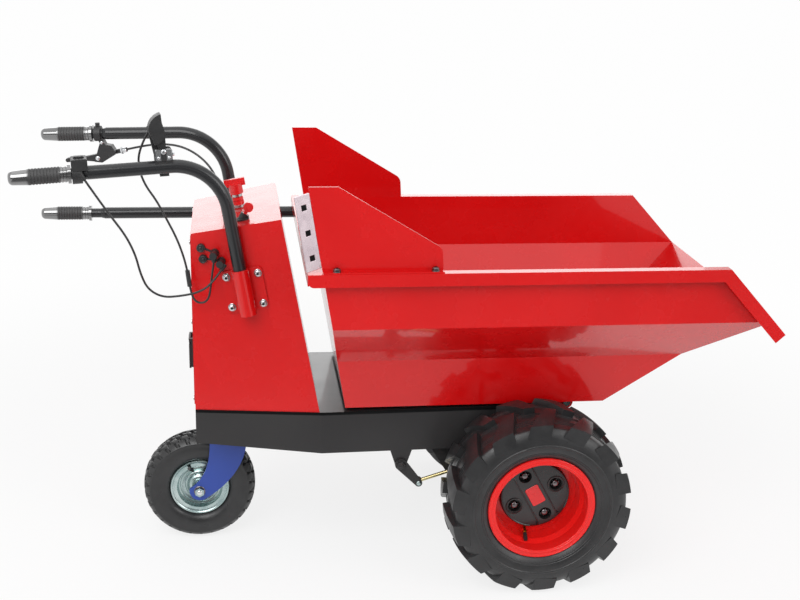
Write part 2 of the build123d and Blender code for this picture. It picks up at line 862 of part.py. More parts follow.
fork_boss = 22.0
with BuildPart() as caster_fork:
    fork_outer_y = fork_inner_y + fork_wall
    block(
        (swivel_x - fork_crown_rear, swivel_x + fork_crown_front),
        (-fork_outer_y, fork_outer_y),
        (fork_crown_z, crown_top_z),
    )
    with BuildSketch(Plane.XZ.offset(fork_inner_y)):
        with BuildLine():
            Spline(
                (swivel_x - fork_crown_rear, crown_top_z),
                (swivel_x - fork_crown_rear - 2, caster_axle_z + 82),
                (swivel_x - fork_crown_rear - 13, caster_axle_z + 44),
                (caster_axle_x - fork_boss, caster_axle_z + 6),
            )
            ThreePointArc(
                (caster_axle_x - fork_boss, caster_axle_z + 6),
                (caster_axle_x - 10, caster_axle_z - 0.9 * fork_boss),
                (caster_axle_x + 10, caster_axle_z - fork_boss + 1),
            )
            Spline(
                (caster_axle_x + 10, caster_axle_z - fork_boss + 1),
                (swivel_x - 4, caster_axle_z + 21),
                (swivel_x + 31, caster_axle_z + 77),
                (swivel_x + fork_crown_front, crown_top_z),
            )
            Line((swivel_x + fork_crown_front, crown_top_z), (swivel_x - fork_crown_rear, crown_top_z))
        make_face()
        with Locations((caster_axle_x, caster_axle_z)):
            Circle(caster_axle_radius + running_gap, mode=Mode.SUBTRACT)
    extrude(amount=fork_wall)
    mirror(about=Plane.XZ)
    race_top_z = crown_top_z + race_height
    rod_between((swivel_x, 0, crown_top_z), (swivel_x, 0, race_top_z), race_radius)
    rod_between(
        (swivel_x, 0, fork_crown_z),
        (swivel_x, 0, race_top_z),
        kingpin_radius + running_gap,
        Mode.SUBTRACT,
    )
save(caster_fork, "caster_fork")

caster_nut = 19.0
caster_nut_height = 9.0
with BuildPart() as caster_axle:
    bolt = hex_bolt(
        caster_nut, caster_nut_height, caster_axle_radius, 2 * fork_outer_y + caster_nut_height / 2
    )
    with Locations(Plane((caster_axle_x, -fork_outer_y, caster_axle_z), z_dir=(0, -1, 0))):
        add(bolt)
    with BuildSketch(Plane((caster_axle_x, fork_outer_y, caster_axle_z), z_dir=(0, 1, 0))):
        RegularPolygon(caster_nut / 2, 6, major_radius=False)
    extrude(amount=caster_nut_height)
save(caster_axle, "caster_axle")

caster_origin = (caster_axle_x, 0, caster_axle_z)
caster_spin = Axis(caster_origin, (0, 1, 0))
caster_profile_plane = Plane(caster_origin, x_dir=(1, 0, 0), z_dir=(0, 0, 1))
with BuildPart() as caster_rim:
    flange_half = caster_rim_width / 2
    barrel_radius = caster_seat_radius - caster_rim_wall
    with BuildSketch(caster_profile_plane):
        with BuildLine():
            Polyline(
                (caster_axle_radius + running_gap, 0),
                (caster_axle_radius + running_gap, caster_hub_width / 2),
                (caster_hub_radius, caster_hub_width / 2),
                (caster_hub_radius, 2 * caster_rim_wall),
                (barrel_radius, 2 * caster_rim_wall),
                (barrel_radius, flange_half),
                (caster_flange_radius, flange_half),
                (caster_flange_radius, flange_half - caster_rim_wall),
                (caster_seat_radius, flange_half - caster_rim_wall),
                (caster_seat_radius, 0),
            )
            mirror(about=Plane.XZ)
        make_face()
    revolve(axis=caster_spin)
save(caster_rim, "caster_rim")

with BuildPart() as caster_tyre:
    with BuildSketch(caster_profile_plane):
        add(
            tyre_section(
                caster_seat_radius + soft_gap,
                caster_flange_radius + part_gap,
                caster_rim_width / 2 - caster_rim_wall - soft_gap,
                caster_bead_width,
                (caster_seat_radius + caster_radius) / 2 + 4,
                caster_width / 2,
                caster_radius - caster_shoulder_drop,
                caster_tread_half,
                caster_radius,
                caster_carcass,
            )
        )
    revolve(axis=caster_spin)
save(caster_tyre, "caster_tyre")

# Battery and control box
box_front_slope = (box_top_front_x - box_front_x) / (box_front_top_z - deck_top_z)
box_plan = [
    (box_rear_x, box_half(box_rear_x)),
    (box_front_x, box_half(box_front_x)),
    (box_front_x, -box_half(box_front_x)),
    (box_rear_x, -box_half(box_rear_x)),
]
box_side = [
    (box_rear_x, deck_top_z),
    (box_front_x, deck_top_z),
    (box_top_front_x, box_front_top_z),
    (box_rear_x, box_rear_top_z),
]
# The same outline carried on below the deck, so that the hollow is open at the bottom
box_hollow_side = [
    (box_rear_x, deck_top_z - far / 10),
    (box_front_x - box_front_slope * far / 10, deck_top_z - far / 10),
    (box_top_front_x, box_front_top_z),
    (box_rear_x, box_rear_top_z),
]
top_plane = Plane(
    (box_rear_x, 0, box_rear_top_z),
    x_dir=(cos(box_top_angle), 0, sin(box_top_angle)),
    z_dir=(-sin(box_top_angle), 0, cos(box_top_angle)),
)
right_plane = Plane(
    (box_rear_x, -box_half(box_rear_x), deck_top_z),
    x_dir=(cos(taper_angle), -sin(taper_angle), 0),
    z_dir=(-sin(taper_angle), -cos(taper_angle), 0),
)
rear_plane = Plane((box_rear_x, 0, deck_top_z), x_dir=(0, -1, 0), z_dir=(-1, 0, 0))

# The handlebar's foot sets where its socket sits on the box side
bar_leg = (bar_knee - bar_foot).normalized()
bar_run = (bar_tip - bar_knee).normalized()
bar_lean = degrees(atan2(-bar_leg.X, bar_leg.Z))
socket_middle = bar_foot + bar_leg * (socket_length / 2)
socket_spot = right_plane.to_local_coords(socket_middle)
plate_plane = Plane(right_plane.location * Location((socket_spot.X, socket_spot.Y, 0), (0, 0, bar_lean)))
starter_plane = Plane(
    top_plane.location * Location((starter_along, starter_across, 0), (0, starter_tilt, 0))
)
starter_plug_radius = starter_radius - sheet - 1
cover_screw_y = 2 * (box_half(box_rear_x) - cover_margin)
cover_height = box_rear_top_z - deck_top_z - cover_margin
cover_screw_z = (cover_height - 2 * cover_margin) / 2
rear_middle_z = cover_height / 2 + cover_margin / 2

with BuildPart() as socket_bolt_holes:
    with Locations(plate_plane):
        with GridLocations(socket_bolt_spacing, socket_bolt_spacing, 2, 2):
            Cylinder(bolt_radius + soft_gap, 8 * sheet)
    mirror(about=Plane.XZ)

with BuildPart() as box_hollow:
    with BuildSketch(Plane.XY.offset(deck_top_z - far / 20)):
        Polygon(*box_plan, align=None)
        offset(amount=-sheet, kind=Kind.INTERSECTION, mode=Mode.REPLACE)
    extrude(amount=far)
    with BuildSketch(Plane.XZ):
        Polygon(*box_hollow_side, align=None)
        offset(amount=-sheet, kind=Kind.INTERSECTION, mode=Mode.REPLACE)
    extrude(amount=far, both=True, mode=Mode.INTERSECT)

with BuildPart() as box_casing:
    with BuildSketch(Plane.XY.offset(deck_top_z)):
        Polygon(*box_plan, align=None)
    extrude(amount=far)
    with BuildSketch(Plane.XZ):
        Polygon(*box_side, align=None)
    extrude(amount=far, both=True, mode=Mode.INTERSECT)
    add(box_hollow.part, mode=Mode.SUBTRACT)
    # Service opening behind the rear cover
    with Locations(rear_plane):
        with Locations((0, rear_middle_z)):
            Box(
                cover_screw_y - 2 * cover_margin,
                cover_height - 4 * cover_margin,
                4 * sheet,
                mode=Mode.SUBTRACT,
            )
            with GridLocations(cover_screw_y, cover_screw_z, 2, 3):
                Cylinder(screw_radius + soft_gap, 4 * sheet, mode=Mode.SUBTRACT)
    add(socket_bolt_holes.part, mode=Mode.SUBTRACT)
save(box_casing, "box_casing")

with BuildPart() as rear_cover:
    with BuildSketch(rear_plane):
        with Locations((0, rear_middle_z)):
            RectangleRounded(cover_screw_y + cover_margin, cover_height, cover_margin / 2)
            with GridLocations(cover_screw_y, cover_screw_z, 2, 3):
                Circle(screw_radius + soft_gap, mode=Mode.SUBTRACT)
    extrude(amount=cover_wall)
save(rear_cover, "rear_cover")

battery_x = box_rear_x + sheet + battery_clearance
with BuildPart() as batteries:
    for cell in (0, 1):
        cell_x = battery_x + cell * (battery_length + part_gap)
        block(
            (cell_x, cell_x + battery_length),
            (-battery_width / 2, battery_width / 2),
            (deck_top_z, deck_top_z + battery_height),
        )
        with Locations((cell_x + battery_length / 2, 0, deck_top_z + battery_height)):
            with GridLocations(0, battery_width - 4 * terminal_radius, 1, 2):
                Cylinder(terminal_radius, terminal_height, align=ALONG_Z)
save(batteries, "batteries")

with BuildPart() as motor_controller:
    with Locations((battery_x + battery_length, 0, deck_top_z + battery_height)):
        Box(controller_length, controller_width, controller_height, align=ALONG_Z)
        with Locations((0, 0, controller_height)):
            with GridLocations(0, controller_width / controller_fin_count, 1, controller_fin_count):
                Box(
                    controller_length,
                    controller_fin_width,
                    2 * controller_fin_depth,
                    mode=Mode.SUBTRACT,
                )
save(motor_controller, "motor_controller")

# Charging inlet with its flap, which hangs on a pin between two posts
inlet_plane = Plane(
    (box_rear_x - cover_wall, inlet_y, inlet_z), x_dir=rear_plane.x_dir, z_dir=rear_plane.z_dir
)
flap_hinge_up = inlet_height / 2 + cap_hinge_radius
flap_hinge_out = inlet_depth + part_gap + cap_wall / 2
flap_pin_radius = cap_hinge_radius / 2
flap_post = inlet_width / 6
flap_barrel = inlet_width - 2 * flap_post - 2 * part_gap
flap_pin_ends = [
    inlet_plane.from_local_coords((end * inlet_width / 2, flap_hinge_up, flap_hinge_out)) for end in (1, -1)
]
flap_barrel_ends = [
    inlet_plane.from_local_coords((end * flap_barrel / 2, flap_hinge_up, flap_hinge_out)) for end in (1, -1)
]
with BuildPart() as charge_inlet:
    with BuildSketch(inlet_plane):
        RectangleRounded(inlet_width, inlet_height, inlet_depth)
    extrude(amount=inlet_depth)
    with Locations(inlet_plane.offset(1)):
        Cylinder(inlet_bore_radius, inlet_depth, align=ALONG_Z, mode=Mode.SUBTRACT)
        with PolarLocations(inlet_bore_radius / 2, 3):
            Cylinder(flap_pin_radius, inlet_depth / 2, align=ALONG_Z)
    with Locations(inlet_plane):
        with GridLocations(inlet_width - flap_post, 0, 2, 1):
            with Locations((0, flap_hinge_up, 0)):
                Box(flap_post, 2 * cap_hinge_radius, flap_hinge_out + cap_wall / 2, align=ALONG_Z)
            with Locations((0, flap_hinge_up - 2 * cap_hinge_radius, 0)):
                Box(flap_post, 3 * cap_hinge_radius, inlet_depth, align=ALONG_Z)
    rod_between(*flap_pin_ends, flap_pin_radius)
save(charge_inlet, "charge_inlet")

with BuildPart() as charge_cap:
    with Locations(inlet_plane.offset(inlet_depth + part_gap)):
        with Locations((0, -cap_hinge_radius, 0)):
            Box(inlet_width, inlet_height - 2 * cap_hinge_radius, cap_wall, align=ALONG_Z)
        with Locations((0, flap_hinge_up - 2 * cap_hinge_radius, 0)):
            Box(flap_barrel, 4 * cap_hinge_radius, cap_wall, align=ALONG_Z)
    rod_between(*flap_barrel_ends, cap_hinge_radius)
    rod_between(*flap_pin_ends, flap_pin_radius + running_gap, Mode.SUBTRACT)
save(charge_cap, "charge_cap")

# Handlebar sockets on both sides of the box
socket_radius = bar_radius + running_gap + socket_wall
socket_top = bar_foot + bar_leg * socket_length
with BuildPart() as handlebar_sockets:
    with BuildSketch(plate_plane):
        RectangleRounded(socket_plate_width, socket_plate_height, socket_plate_corner)
    extrude(amount=socket_plate_wall)
    with BuildSketch(plate_plane):
        Rectangle(bar_radius, socket_length - 2 * socket_plate_wall)
    extrude(amount=socket_spot.Z)
    rod_between(bar_foot, socket_top, socket_radius)
    rod_between(
        bar_foot - bar_leg * socket_wall,
        socket_top + bar_leg * socket_wall,
        bar_radius + running_gap,
        Mode.SUBTRACT,
    )
    mirror(about=Plane.XZ)
    add(socket_bolt_holes.part, mode=Mode.SUBTRACT)
    with BuildPart(mode=Mode.PRIVATE) as inside_of_box:
        with BuildSketch(Plane.XY.offset(deck_top_z)):
            Polygon(*box_plan, align=None)
        extrude(amount=far)
    add(inside_of_box.part, mode=Mode.SUBTRACT)
save(handlebar_sockets, "handlebar_sockets")

# Handlebars: a bent tube, a short cone and a thinner end for the grip
bar_main_end = bar_tip - bar_run * bar_step
with BuildPart() as handlebar:
    with BuildLine() as bar_path:
        FilletPolyline(bar_foot, bar_knee, bar_main_end, radius=bar_bend_radius)
    with BuildSketch(Plane(bar_foot, z_dir=bar_leg)):
        Circle(bar_radius)
        Circle(bar_radius - bar_wall, mode=Mode.SUBTRACT)
    sweep()
    with Locations(Plane(bar_main_end, z_dir=bar_run)):
        Cone(bar_radius, bar_end_radius, bar_cone, align=ALONG_Z)
    rod_between(bar_main_end, bar_tip, bar_end_radius)
save_pair(handlebar, "handlebar")


def grip_part():
    """A grip that points along +Z, with the end of its bar at the bottom of its blind bore."""
    bore = bar_end_radius + soft_gap
    closed = grip_length - grip_cap
    rib_run = (grip_length - grip_plain_end - grip_collar_width) / grip_ribs
    outline = [(bore, 0), (grip_collar_radius, 0), (grip_collar_radius, grip_collar_width)]
    for rib in range(grip_ribs):
        rib_start = grip_collar_width + rib * rib_run
        outline.append((grip_radius - grip_rib_depth, rib_start))
        outline.append((grip_radius - grip_rib_depth, rib_start + 0.3 * rib_run))
        outline.append((grip_radius, rib_start + 0.45 * rib_run))
        outline.append((grip_radius, rib_start + rib_run))
    outline.append((grip_end_radius, grip_length - grip_end_round))
    with BuildPart() as grip_body:
        with BuildSketch(Plane.XZ):
            with BuildLine():
                Polyline(*outline)
                ThreePointArc(
                    outline[-1],
                    (grip_end_radius - 0.3 * grip_end_round, grip_length - 0.3 * grip_end_round),
                    (grip_end_radius - grip_end_round, grip_length),
                )
                Polyline(
                    (grip_end_radius - grip_end_round, grip_length),
                    (0, grip_length),
                    (0, closed),
                    (bore, closed),
                    (bore, 0),
                )
            make_face()
        revolve(axis=Axis.Z)
    return grip_body.part


grip_start = grip_length - grip_cap
with BuildPart() as grip:
    with Locations(Plane(bar_tip - bar_run * (grip_start - soft_gap), z_dir=bar_run)):
        add(grip_part())
save_pair(grip, "grip")

with BuildPart() as fasteners:
    socket_bolt = hex_bolt(bolt_head, bolt_head_height, bolt_radius, socket_plate_wall + 3 * sheet)
    with Locations(plate_plane.offset(socket_plate_wall)):
        with GridLocations(socket_bolt_spacing, socket_bolt_spacing, 2, 2):
            add(socket_bolt)
    mirror(about=Plane.XZ)
    caster_bolt = hex_bolt(bolt_head, bolt_head_height, bolt_radius, caster_plate_wall + 3 * chassis_wall)
    with Locations(Plane((swivel_x, 0, plate_bottom_z), x_dir=(1, 0, 0), z_dir=(0, 0, -1))):
        with GridLocations(caster_bolt_spacing_x, caster_bolt_spacing_y, 2, 2):
            add(caster_bolt)
    cover_screw = pan_screw(cover_wall + 2 * sheet)
    with Locations(rear_plane.offset(cover_wall)):
        with Locations((0, rear_middle_z)):
            with GridLocations(cover_screw_y, cover_screw_z, 2, 3):
                add(cover_screw)
save(fasteners, "fasteners")

# Hopper: the fold lines across the machine cut to the outline along it
hopper_section = [
    (floor_half, floor_z),
    (lower_fold_half, lower_fold_z),
    (upper_fold_half, upper_fold_z),
    (rim_half, rim_z),
]
hopper_outline = [
    (floor_rear_x, floor_z),
    (floor_front_x, floor_z),
    (lip_x, lip_z),
    (rim_front_x, rim_z),
    (rim_rear_x, rim_z),
]
# The hollow runs on past the rim and the lip, so that both are open
over = 4 * sheet
chute = Vector(lip_x - floor_front_x, 0, lip_z - floor_z).normalized()
hollow_section = hopper_section[:-1] + [(rim_half + upper_wall_slope * over, rim_z + over)]
hollow_lip = Vector(lip_x, 0, lip_z) + chute * 4 * over
hollow_outline = [
    (floor_rear_x, floor_z),
    (floor_front_x, floor_z),
    (hollow_lip.X, hollow_lip.Z),
    (hollow_lip.X, rim_z + over),
    (rim_rear_x + rear_wall_slope * over, rim_z + over),
]


def both_sides(half_points):
    """A closed outline from the points of its +Y half, given from the bottom up."""
    return half_points + [(-across, up) for across, up in reversed(half_points)]


def rim_band(depth):
    """The band of the given depth along the top and sloping edges, seen from the side."""
    along = rim_fall.normalized()
    inward = Vector(along.Z, 0, -along.X) * depth
    return [
        (rear_ledge_x, rim_z),
        (rim_front_x, rim_z),
        (lip_end.X, lip_end.Z),
        (lip_end.X + inward.X, lip_end.Z + inward.Z),
        (rim_front_x - depth * tan(rim_turn / 2), rim_z - depth),
        (rear_ledge_x, rim_z - depth),
    ]


with BuildPart() as hopper_hollow:
    with BuildSketch(Plane.YZ):
        Polygon(*both_sides(hollow_section), align=None)
        offset(amount=-sheet, kind=Kind.INTERSECTION, mode=Mode.REPLACE)
    extrude(amount=far, both=True)
    with BuildSketch(Plane.XZ):
        Polygon(*hollow_outline, align=None)
        offset(amount=-sheet, kind=Kind.INTERSECTION, mode=Mode.REPLACE)
    extrude(amount=far, both=True, mode=Mode.INTERSECT)

wing_bolt_y = rim_half + wing_foot / 2
wing_bolt_spots = [
    (rim_rear_x + wing_bolt_rear, wing_bolt_y),
    (rim_rear_x + wing_low_length - wing_bolt_front, wing_bolt_y),
]
hinge_lug_offset = hinge_ear_width / 2 + hinge_side_gap + hinge_lug_width / 2
with BuildPart() as hopper_shell:
    with BuildSketch(Plane.YZ):
        Polygon(*both_sides(hopper_section), align=None)
    extrude(amount=far, both=True)
    with BuildSketch(Plane.XZ):
        Polygon(*hopper_outline, align=None)
    extrude(amount=far, both=True, mode=Mode.INTERSECT)
    add(hopper_hollow.part, mode=Mode.SUBTRACT)
    # Turned rim along both sides, then across the back
    with BuildSketch(Plane.XZ.offset(rim_half - sheet)):
        Polygon(*rim_band(sheet), align=None)
    extrude(amount=rim_ledge + sheet)
    with BuildSketch(Plane.XZ.offset(rim_outer_half - sheet)) as flange_sketch:
        Polygon(*rim_band(rim_drop), align=None)
        fillet(flange_sketch.vertices().group_by(Axis.X)[0].sort_by(Axis.Y)[0], rim_corner)
    extrude(amount=sheet)
    with Locations((0, 0, rim_z - sheet)):
        with Locations(*[(x, -y) for x, y in wing_bolt_spots]):
            Cylinder(bolt_radius + soft_gap, 3 * sheet, mode=Mode.SUBTRACT)
    for side in (1, -1):
        for offset_y in (hinge_lug_offset, -hinge_lug_offset):
            with BuildSketch(Plane.XZ.offset(hinge_y + offset_y - hinge_lug_width / 2)):
                with Locations((hinge_x, hinge_z)):
                    Circle(hinge_eye_radius)
                    Rectangle(
                        2 * hinge_eye_radius,
                        floor_z + sheet / 2 - hinge_z,
                        align=(Align.CENTER, Align.MIN),
                    )
                    Circle(hinge_pin_radius + running_gap, mode=Mode.SUBTRACT)
            extrude(amount=hinge_lug_width)
    mirror(about=Plane.XZ)
    block(
        (rear_ledge_x, rim_rear_x + sheet),
        (-rim_outer_half + sheet, rim_outer_half - sheet),
        (rim_z - sheet, rim_z),
    )
    block(
        (rear_ledge_x, rear_ledge_x + sheet),
        (-rim_outer_half + rim_corner, rim_outer_half - rim_corner),
        (rim_z - rim_drop, rim_z),
    )
save(hopper_shell, "hopper_shell")

with BuildPart() as hinge_pins:
    pin_half = hinge_lug_offset + hinge_lug_width
    for side in (1, -1):
        near_y = side * (hinge_y - pin_half)
        far_y = side * (hinge_y + pin_half)
        cross_bar(hinge_x, hinge_z, hinge_pin_radius, near_y, far_y)
save(hinge_pins, "hinge_pins")

# Side wings bolted to the rim
wing_top_z = rim_z + wing_height
with BuildPart() as wing:
    with BuildSketch(Plane.XZ.offset(rim_half - sheet)) as wing_sketch:
        Polygon(
            (rim_rear_x, rim_z),
            (rim_rear_x + wing_low_length, rim_z),
            (rim_rear_x + wing_low_length - sheet, rim_z + wing_front_height),
            (rim_rear_x - wing_rear_lean + wing_top_length, wing_top_z),
            (rim_rear_x - wing_rear_lean, wing_top_z),
            align=None,
        )
        fillet(wing_sketch.vertices().group_by(Axis.X)[-2], wing_corner)
    extrude(amount=sheet)
    block(
        (rim_rear_x, rim_rear_x + wing_low_length),
        (-rim_half - wing_foot, -rim_half),
        (rim_z, rim_z + sheet),
    )
    with Locations((0, 0, rim_z)):
        with Locations(*[(x, -y) for x, y in wing_bolt_spots]):
            Cylinder(bolt_radius + soft_gap, 3 * sheet, mode=Mode.SUBTRACT)
save_pair(wing, "wing")

with BuildPart() as wing_bolts:
    bolt = hex_bolt(bolt_head, bolt_head_height, bolt_radius, 4 * sheet)
    with Locations((0, 0, rim_z + sheet)):
        with Locations(*[(x, -y) for x, y in wing_bolt_spots]):
            add(bolt)
    mirror(about=Plane.XZ)
save(wing_bolts, "wing_bolts")

# Upright rack strip on the right wing's rear edge
rack_edge = Vector(-wing_rear_lean, 0, wing_height).normalized()
rack_across = Vector(-cos(radians(rack_splay)), -sin(radians(rack_splay)), 0)
rack_normal = rack_across.cross(rack_edge).normalized()
rack_foot = Vector(rim_rear_x, -rim_half, rim_z) + rack_edge * 3 * sheet
rack_plane = Plane(rack_foot, x_dir=rack_edge.cross(rack_normal), z_dir=rack_normal)
with BuildPart() as rear_bracket:
    with BuildSketch(rack_plane):
        with Locations((soft_gap, 0)):
            Rectangle(rack_width, rack_height, align=(Align.MIN, Align.MIN))
        with Locations((rack_width / 2, rack_height / 2)):
            with GridLocations(0, rack_height / rack_hole_count, 1, rack_hole_count):
                Rectangle(rack_hole, rack_hole, mode=Mode.SUBTRACT)
    extrude(amount=sheet)
save(rear_bracket, "rear_bracket")

# Tipping handle along the hopper's left side, under the rim
tip_z = rim_z - rim_drop - bar_radius - part_gap
tip_wall_y = rim_half + upper_wall_slope * (tip_z - rim_z) + abs(upper_wall_slope) * bar_radius
tip_y = tip_wall_y + bar_radius + soft_gap
tip_bar_end = Vector(tip_tip_x + grip_cap, tip_y, tip_z)
tip_main_end = tip_bar_end + Vector(bar_step, 0, 0)
with BuildPart() as tip_handle:
    rod_between((tip_front_x, tip_y, tip_z), tip_main_end, bar_radius)
    rod_between((tip_front_x, tip_y, tip_z), tip_main_end, bar_radius - bar_wall, Mode.SUBTRACT)
    with Locations(Plane(tip_main_end, z_dir=(-1, 0, 0))):
        Cone(bar_radius, bar_end_radius, bar_cone, align=ALONG_Z)
    rod_between(tip_main_end, tip_bar_end, bar_end_radius)
save(tip_handle, "tip_handle")

with BuildPart() as tip_grip:
    tip_grip_start = tip_bar_end + Vector(grip_start - soft_gap, 0, 0)
    with Locations(Plane(tip_grip_start, z_dir=(-1, 0, 0))):
        add(grip_part())
save(tip_grip, "tip_grip")

# Controls on the bars, built on the right hand bar
bar_side = bar_run.cross(Vector(0, 0, 1)).normalized()
bar_up = bar_side.cross(bar_run)


def bar_point(from_tip):
    """A point on the right bar's axis, at a distance from the end of the bar."""
    return bar_tip - bar_run * from_tip


def bar_plane(from_tip, up=0.0):
    """A plane along the right bar: X to the rear, Y up and Z inwards."""
    return Plane(bar_point(from_tip) + bar_up * up, x_dir=bar_run, z_dir=bar_side)


def bar_ring(from_tip, width, radius, mode=Mode.ADD):
    rod_between(bar_point(from_tip + width / 2), bar_point(from_tip - width / 2), radius, mode)


def pin_across(plane, radius, length, mode=Mode.ADD):
    """A pin along the given plane's normal, centred on its origin."""
    with Locations(plane):
        Cylinder(radius, length, mode=mode)


switch_box_middle = switch_x - switch_ring_width / 2 + switch_box_length / 2
switch_top = switch_box_seat + switch_box_height
rocker_end_gap = 1.2
rocker_pivot_depth = 1.0
rocker_pin_radius = 1.5
rocker_plane = bar_plane(switch_box_middle, switch_top - rocker_pivot_depth)
direction_exit = (Vector(direction_route[0]) - Vector(direction_route[1])).normalized()
with BuildPart() as direction_switch_housing:
    bar_ring(switch_x, switch_ring_width, switch_ring_radius)
    with BuildSketch(bar_plane(switch_box_middle)):
        with Locations((0, switch_box_seat + switch_box_height / 2)):
            RectangleRounded(switch_box_length, switch_box_height, switch_box_height / 8)
    extrude(amount=switch_box_width / 2, both=True)
    gland_start = Vector(direction_route[0])
    rod_between(gland_start, gland_start + direction_exit * gland_length, gland_radius)
    bar_ring(switch_x, 2 * bar_step, bar_end_radius + running_gap, Mode.SUBTRACT)
    thick_end = bar_point(bar_step - bar_cone - part_gap)
    rod_between(thick_end, bar_point(2 * bar_step), bar_radius + running_gap, Mode.SUBTRACT)
    with Locations(rocker_plane):
        Box(
            rocker_length + 2 * rocker_end_gap,
            2 * rocker_depth,
            rocker_width + 2 * part_gap,
            mode=Mode.SUBTRACT,
        )
    pin_across(rocker_plane, rocker_pin_radius + running_gap, 2 * rocker_width, Mode.SUBTRACT)
save(direction_switch_housing, "direction_switch_housing")

with BuildPart() as direction_rocker:
    with BuildSketch(rocker_plane):
        with Locations((0, rocker_pivot_depth + rocker_rise - rocker_depth / 2)):
            Rectangle(rocker_length, rocker_depth)
    extrude(amount=rocker_width / 2, both=True)
    fillet(direction_rocker.edges().group_by(Axis.Z)[-1], rocker_pivot_depth)
    pin_across(rocker_plane, rocker_pin_radius, 2 * rocker_width - 1)
save(direction_rocker, "direction_rocker")

throttle_pivot_up = throttle_tower - 6
throttle_pivot_plane = bar_plane(throttle_x, throttle_pivot_up)
throttle_width = throttle_arm_width + 2 * throttle_cheek
throttle_post_in = throttle_pad_width / 2 + 2
throttle_exit = (Vector(throttle_route[0]) - Vector(throttle_route[1])).normalized()
with BuildPart() as throttle_clamp:
    # Saddle on the bar's inner half
    bar_ring(throttle_x, throttle_ring_width, throttle_saddle_radius)
    with Locations(bar_plane(throttle_x)):
        Box(
            2 * throttle_ring_width,
            4 * throttle_saddle_radius,
            throttle_saddle_radius,
            align=(Align.CENTER, Align.CENTER, Align.MAX),
            mode=Mode.SUBTRACT,
        )
    with BuildSketch(bar_plane(throttle_x)):
        with Locations((0, throttle_tower)):
            RectangleRounded(
                throttle_tower_width, throttle_tower, 6, align=(Align.CENTER, Align.MAX)
            )
    extrude(amount=throttle_width / 2, both=True)
    with Locations(throttle_pivot_plane):
        with Locations((0, -throttle_arm_width, 0)):
            Box(
                2 * throttle_tower,
                throttle_tower,
                throttle_arm_width,
                align=(Align.CENTER, Align.MIN, Align.CENTER),
                mode=Mode.SUBTRACT,
            )
    # Post beside the paddle, which holds the end of the cable
    with BuildSketch(bar_plane(throttle_x).offset(throttle_post_in)):
        Polygon((11, -8), (-6, -8), (-6, 12), (14, 86), (26, 76), (24, 66), align=None)
    extrude(amount=10)
    gland_start = Vector(throttle_route[0])
    rod_between(gland_start, gland_start + throttle_exit * gland_length, gland_radius)
    bar_ring(throttle_x, 2 * throttle_tower, bar_radius + running_gap, Mode.SUBTRACT)
    pin_across(
        throttle_pivot_plane, throttle_pivot_radius + running_gap, throttle_width + 2, Mode.SUBTRACT
    )
save(throttle_clamp, "throttle_clamp")

with BuildPart() as throttle_lever:
    with BuildSketch(throttle_pivot_plane):
        with BuildLine():
            Polyline((0, 73), (-1, 57), (-8, 29), (6, 17), (15, 13), (25, 45), (24, 51))
            ThreePointArc((24, 51), (14, 66), (0, 73))
        make_face()
    extrude(amount=throttle_pad_width / 2, both=True)
    with BuildSketch(throttle_pivot_plane):
        Circle(throttle_arm_width / 2)
        Polygon((-6, 0), (6, 0), (14, 18), (-6, 28), align=None)
    extrude(amount=throttle_arm_width / 2 - part_gap, both=True)
    pin_across(throttle_pivot_plane, throttle_pivot_radius, throttle_width + 2)
save(throttle_lever, "throttle_lever")

# The brake lever is on the left bar, so its pieces are mirrored
brake_start = Vector(brake_route[0])
brake_exit = (brake_start - Vector(brake_route[1])).normalized()
brake_pivot_plane = Plane(
    bar_plane(brake_x).from_local_coords((brake_pivot_along, -brake_drop, 0)), x_dir=bar_run, z_dir=bar_side
)
brake_width = brake_blade_width + 2 * part_gap + 2 * brake_cheek
with BuildPart() as brake_bracket_right:
    bar_ring(brake_x, brake_ring_width, brake_ring_radius)
    with BuildSketch(bar_plane(brake_x)):
        Polygon(
            (6, 0),
            (-8, 0),
            (-13, -18),
            (-16, -24),
            (-brake_body_length, -26),
            (-brake_body_length - 8, -40),
            (-brake_body_length - 8, -46),
            (brake_pivot_along - 9, -brake_drop - 10),
            (brake_pivot_along + 8, -brake_drop - 8),
            (0, -30),
            (-4, -20),
            align=None,
        )
    extrude(amount=brake_width / 2, both=True)
    with Locations(brake_pivot_plane):
        with Locations((-16, 13, 0)):
            Box(
                2 * brake_body_length,
                2 * brake_body_length,
                brake_blade_width + 2 * part_gap,
                align=(Align.MIN, Align.MAX, Align.CENTER),
                mode=Mode.SUBTRACT,
            )
    knob_foot = bar_point(brake_x) + bar_up * (brake_ring_radius - 2)
    rod_between(knob_foot, knob_foot + bar_up * 9, adjuster_radius)
    bar_ring(brake_x, 2 * bar_step, bar_end_radius + running_gap, Mode.SUBTRACT)
    rod_between(thick_end, bar_point(2 * bar_step), bar_radius + running_gap, Mode.SUBTRACT)
    pin_across(brake_pivot_plane, brake_pivot_radius + running_gap, 2 * brake_width, Mode.SUBTRACT)
with BuildPart() as brake_bracket:
    mirror(brake_bracket_right.part, about=Plane.XZ)
    rod_between(brake_start, brake_start + brake_exit * adjuster_length, adjuster_radius)
save(brake_bracket, "brake_bracket")

with BuildPart() as brake_lever_right:
    with BuildSketch(brake_pivot_plane):
        Circle(brake_blade_height)
        Polygon(
            (0, brake_blade_height),
            (30, 3),
            (brake_blade_length - 4, 0),
            (brake_blade_length - 4, -brake_blade_height),
            (30, 3 - brake_blade_height),
            (0, -brake_blade_height),
            align=None,
        )
        with Locations((brake_blade_length - 4, -brake_blade_height / 2)):
            Circle(brake_blade_height / 2)
    extrude(amount=brake_blade_width / 2, both=True)
    pin_across(brake_pivot_plane, brake_pivot_radius, brake_width + 3)
with BuildPart() as brake_lever:
    mirror(brake_lever_right.part, about=Plane.XZ)
save(brake_lever, "brake_lever")

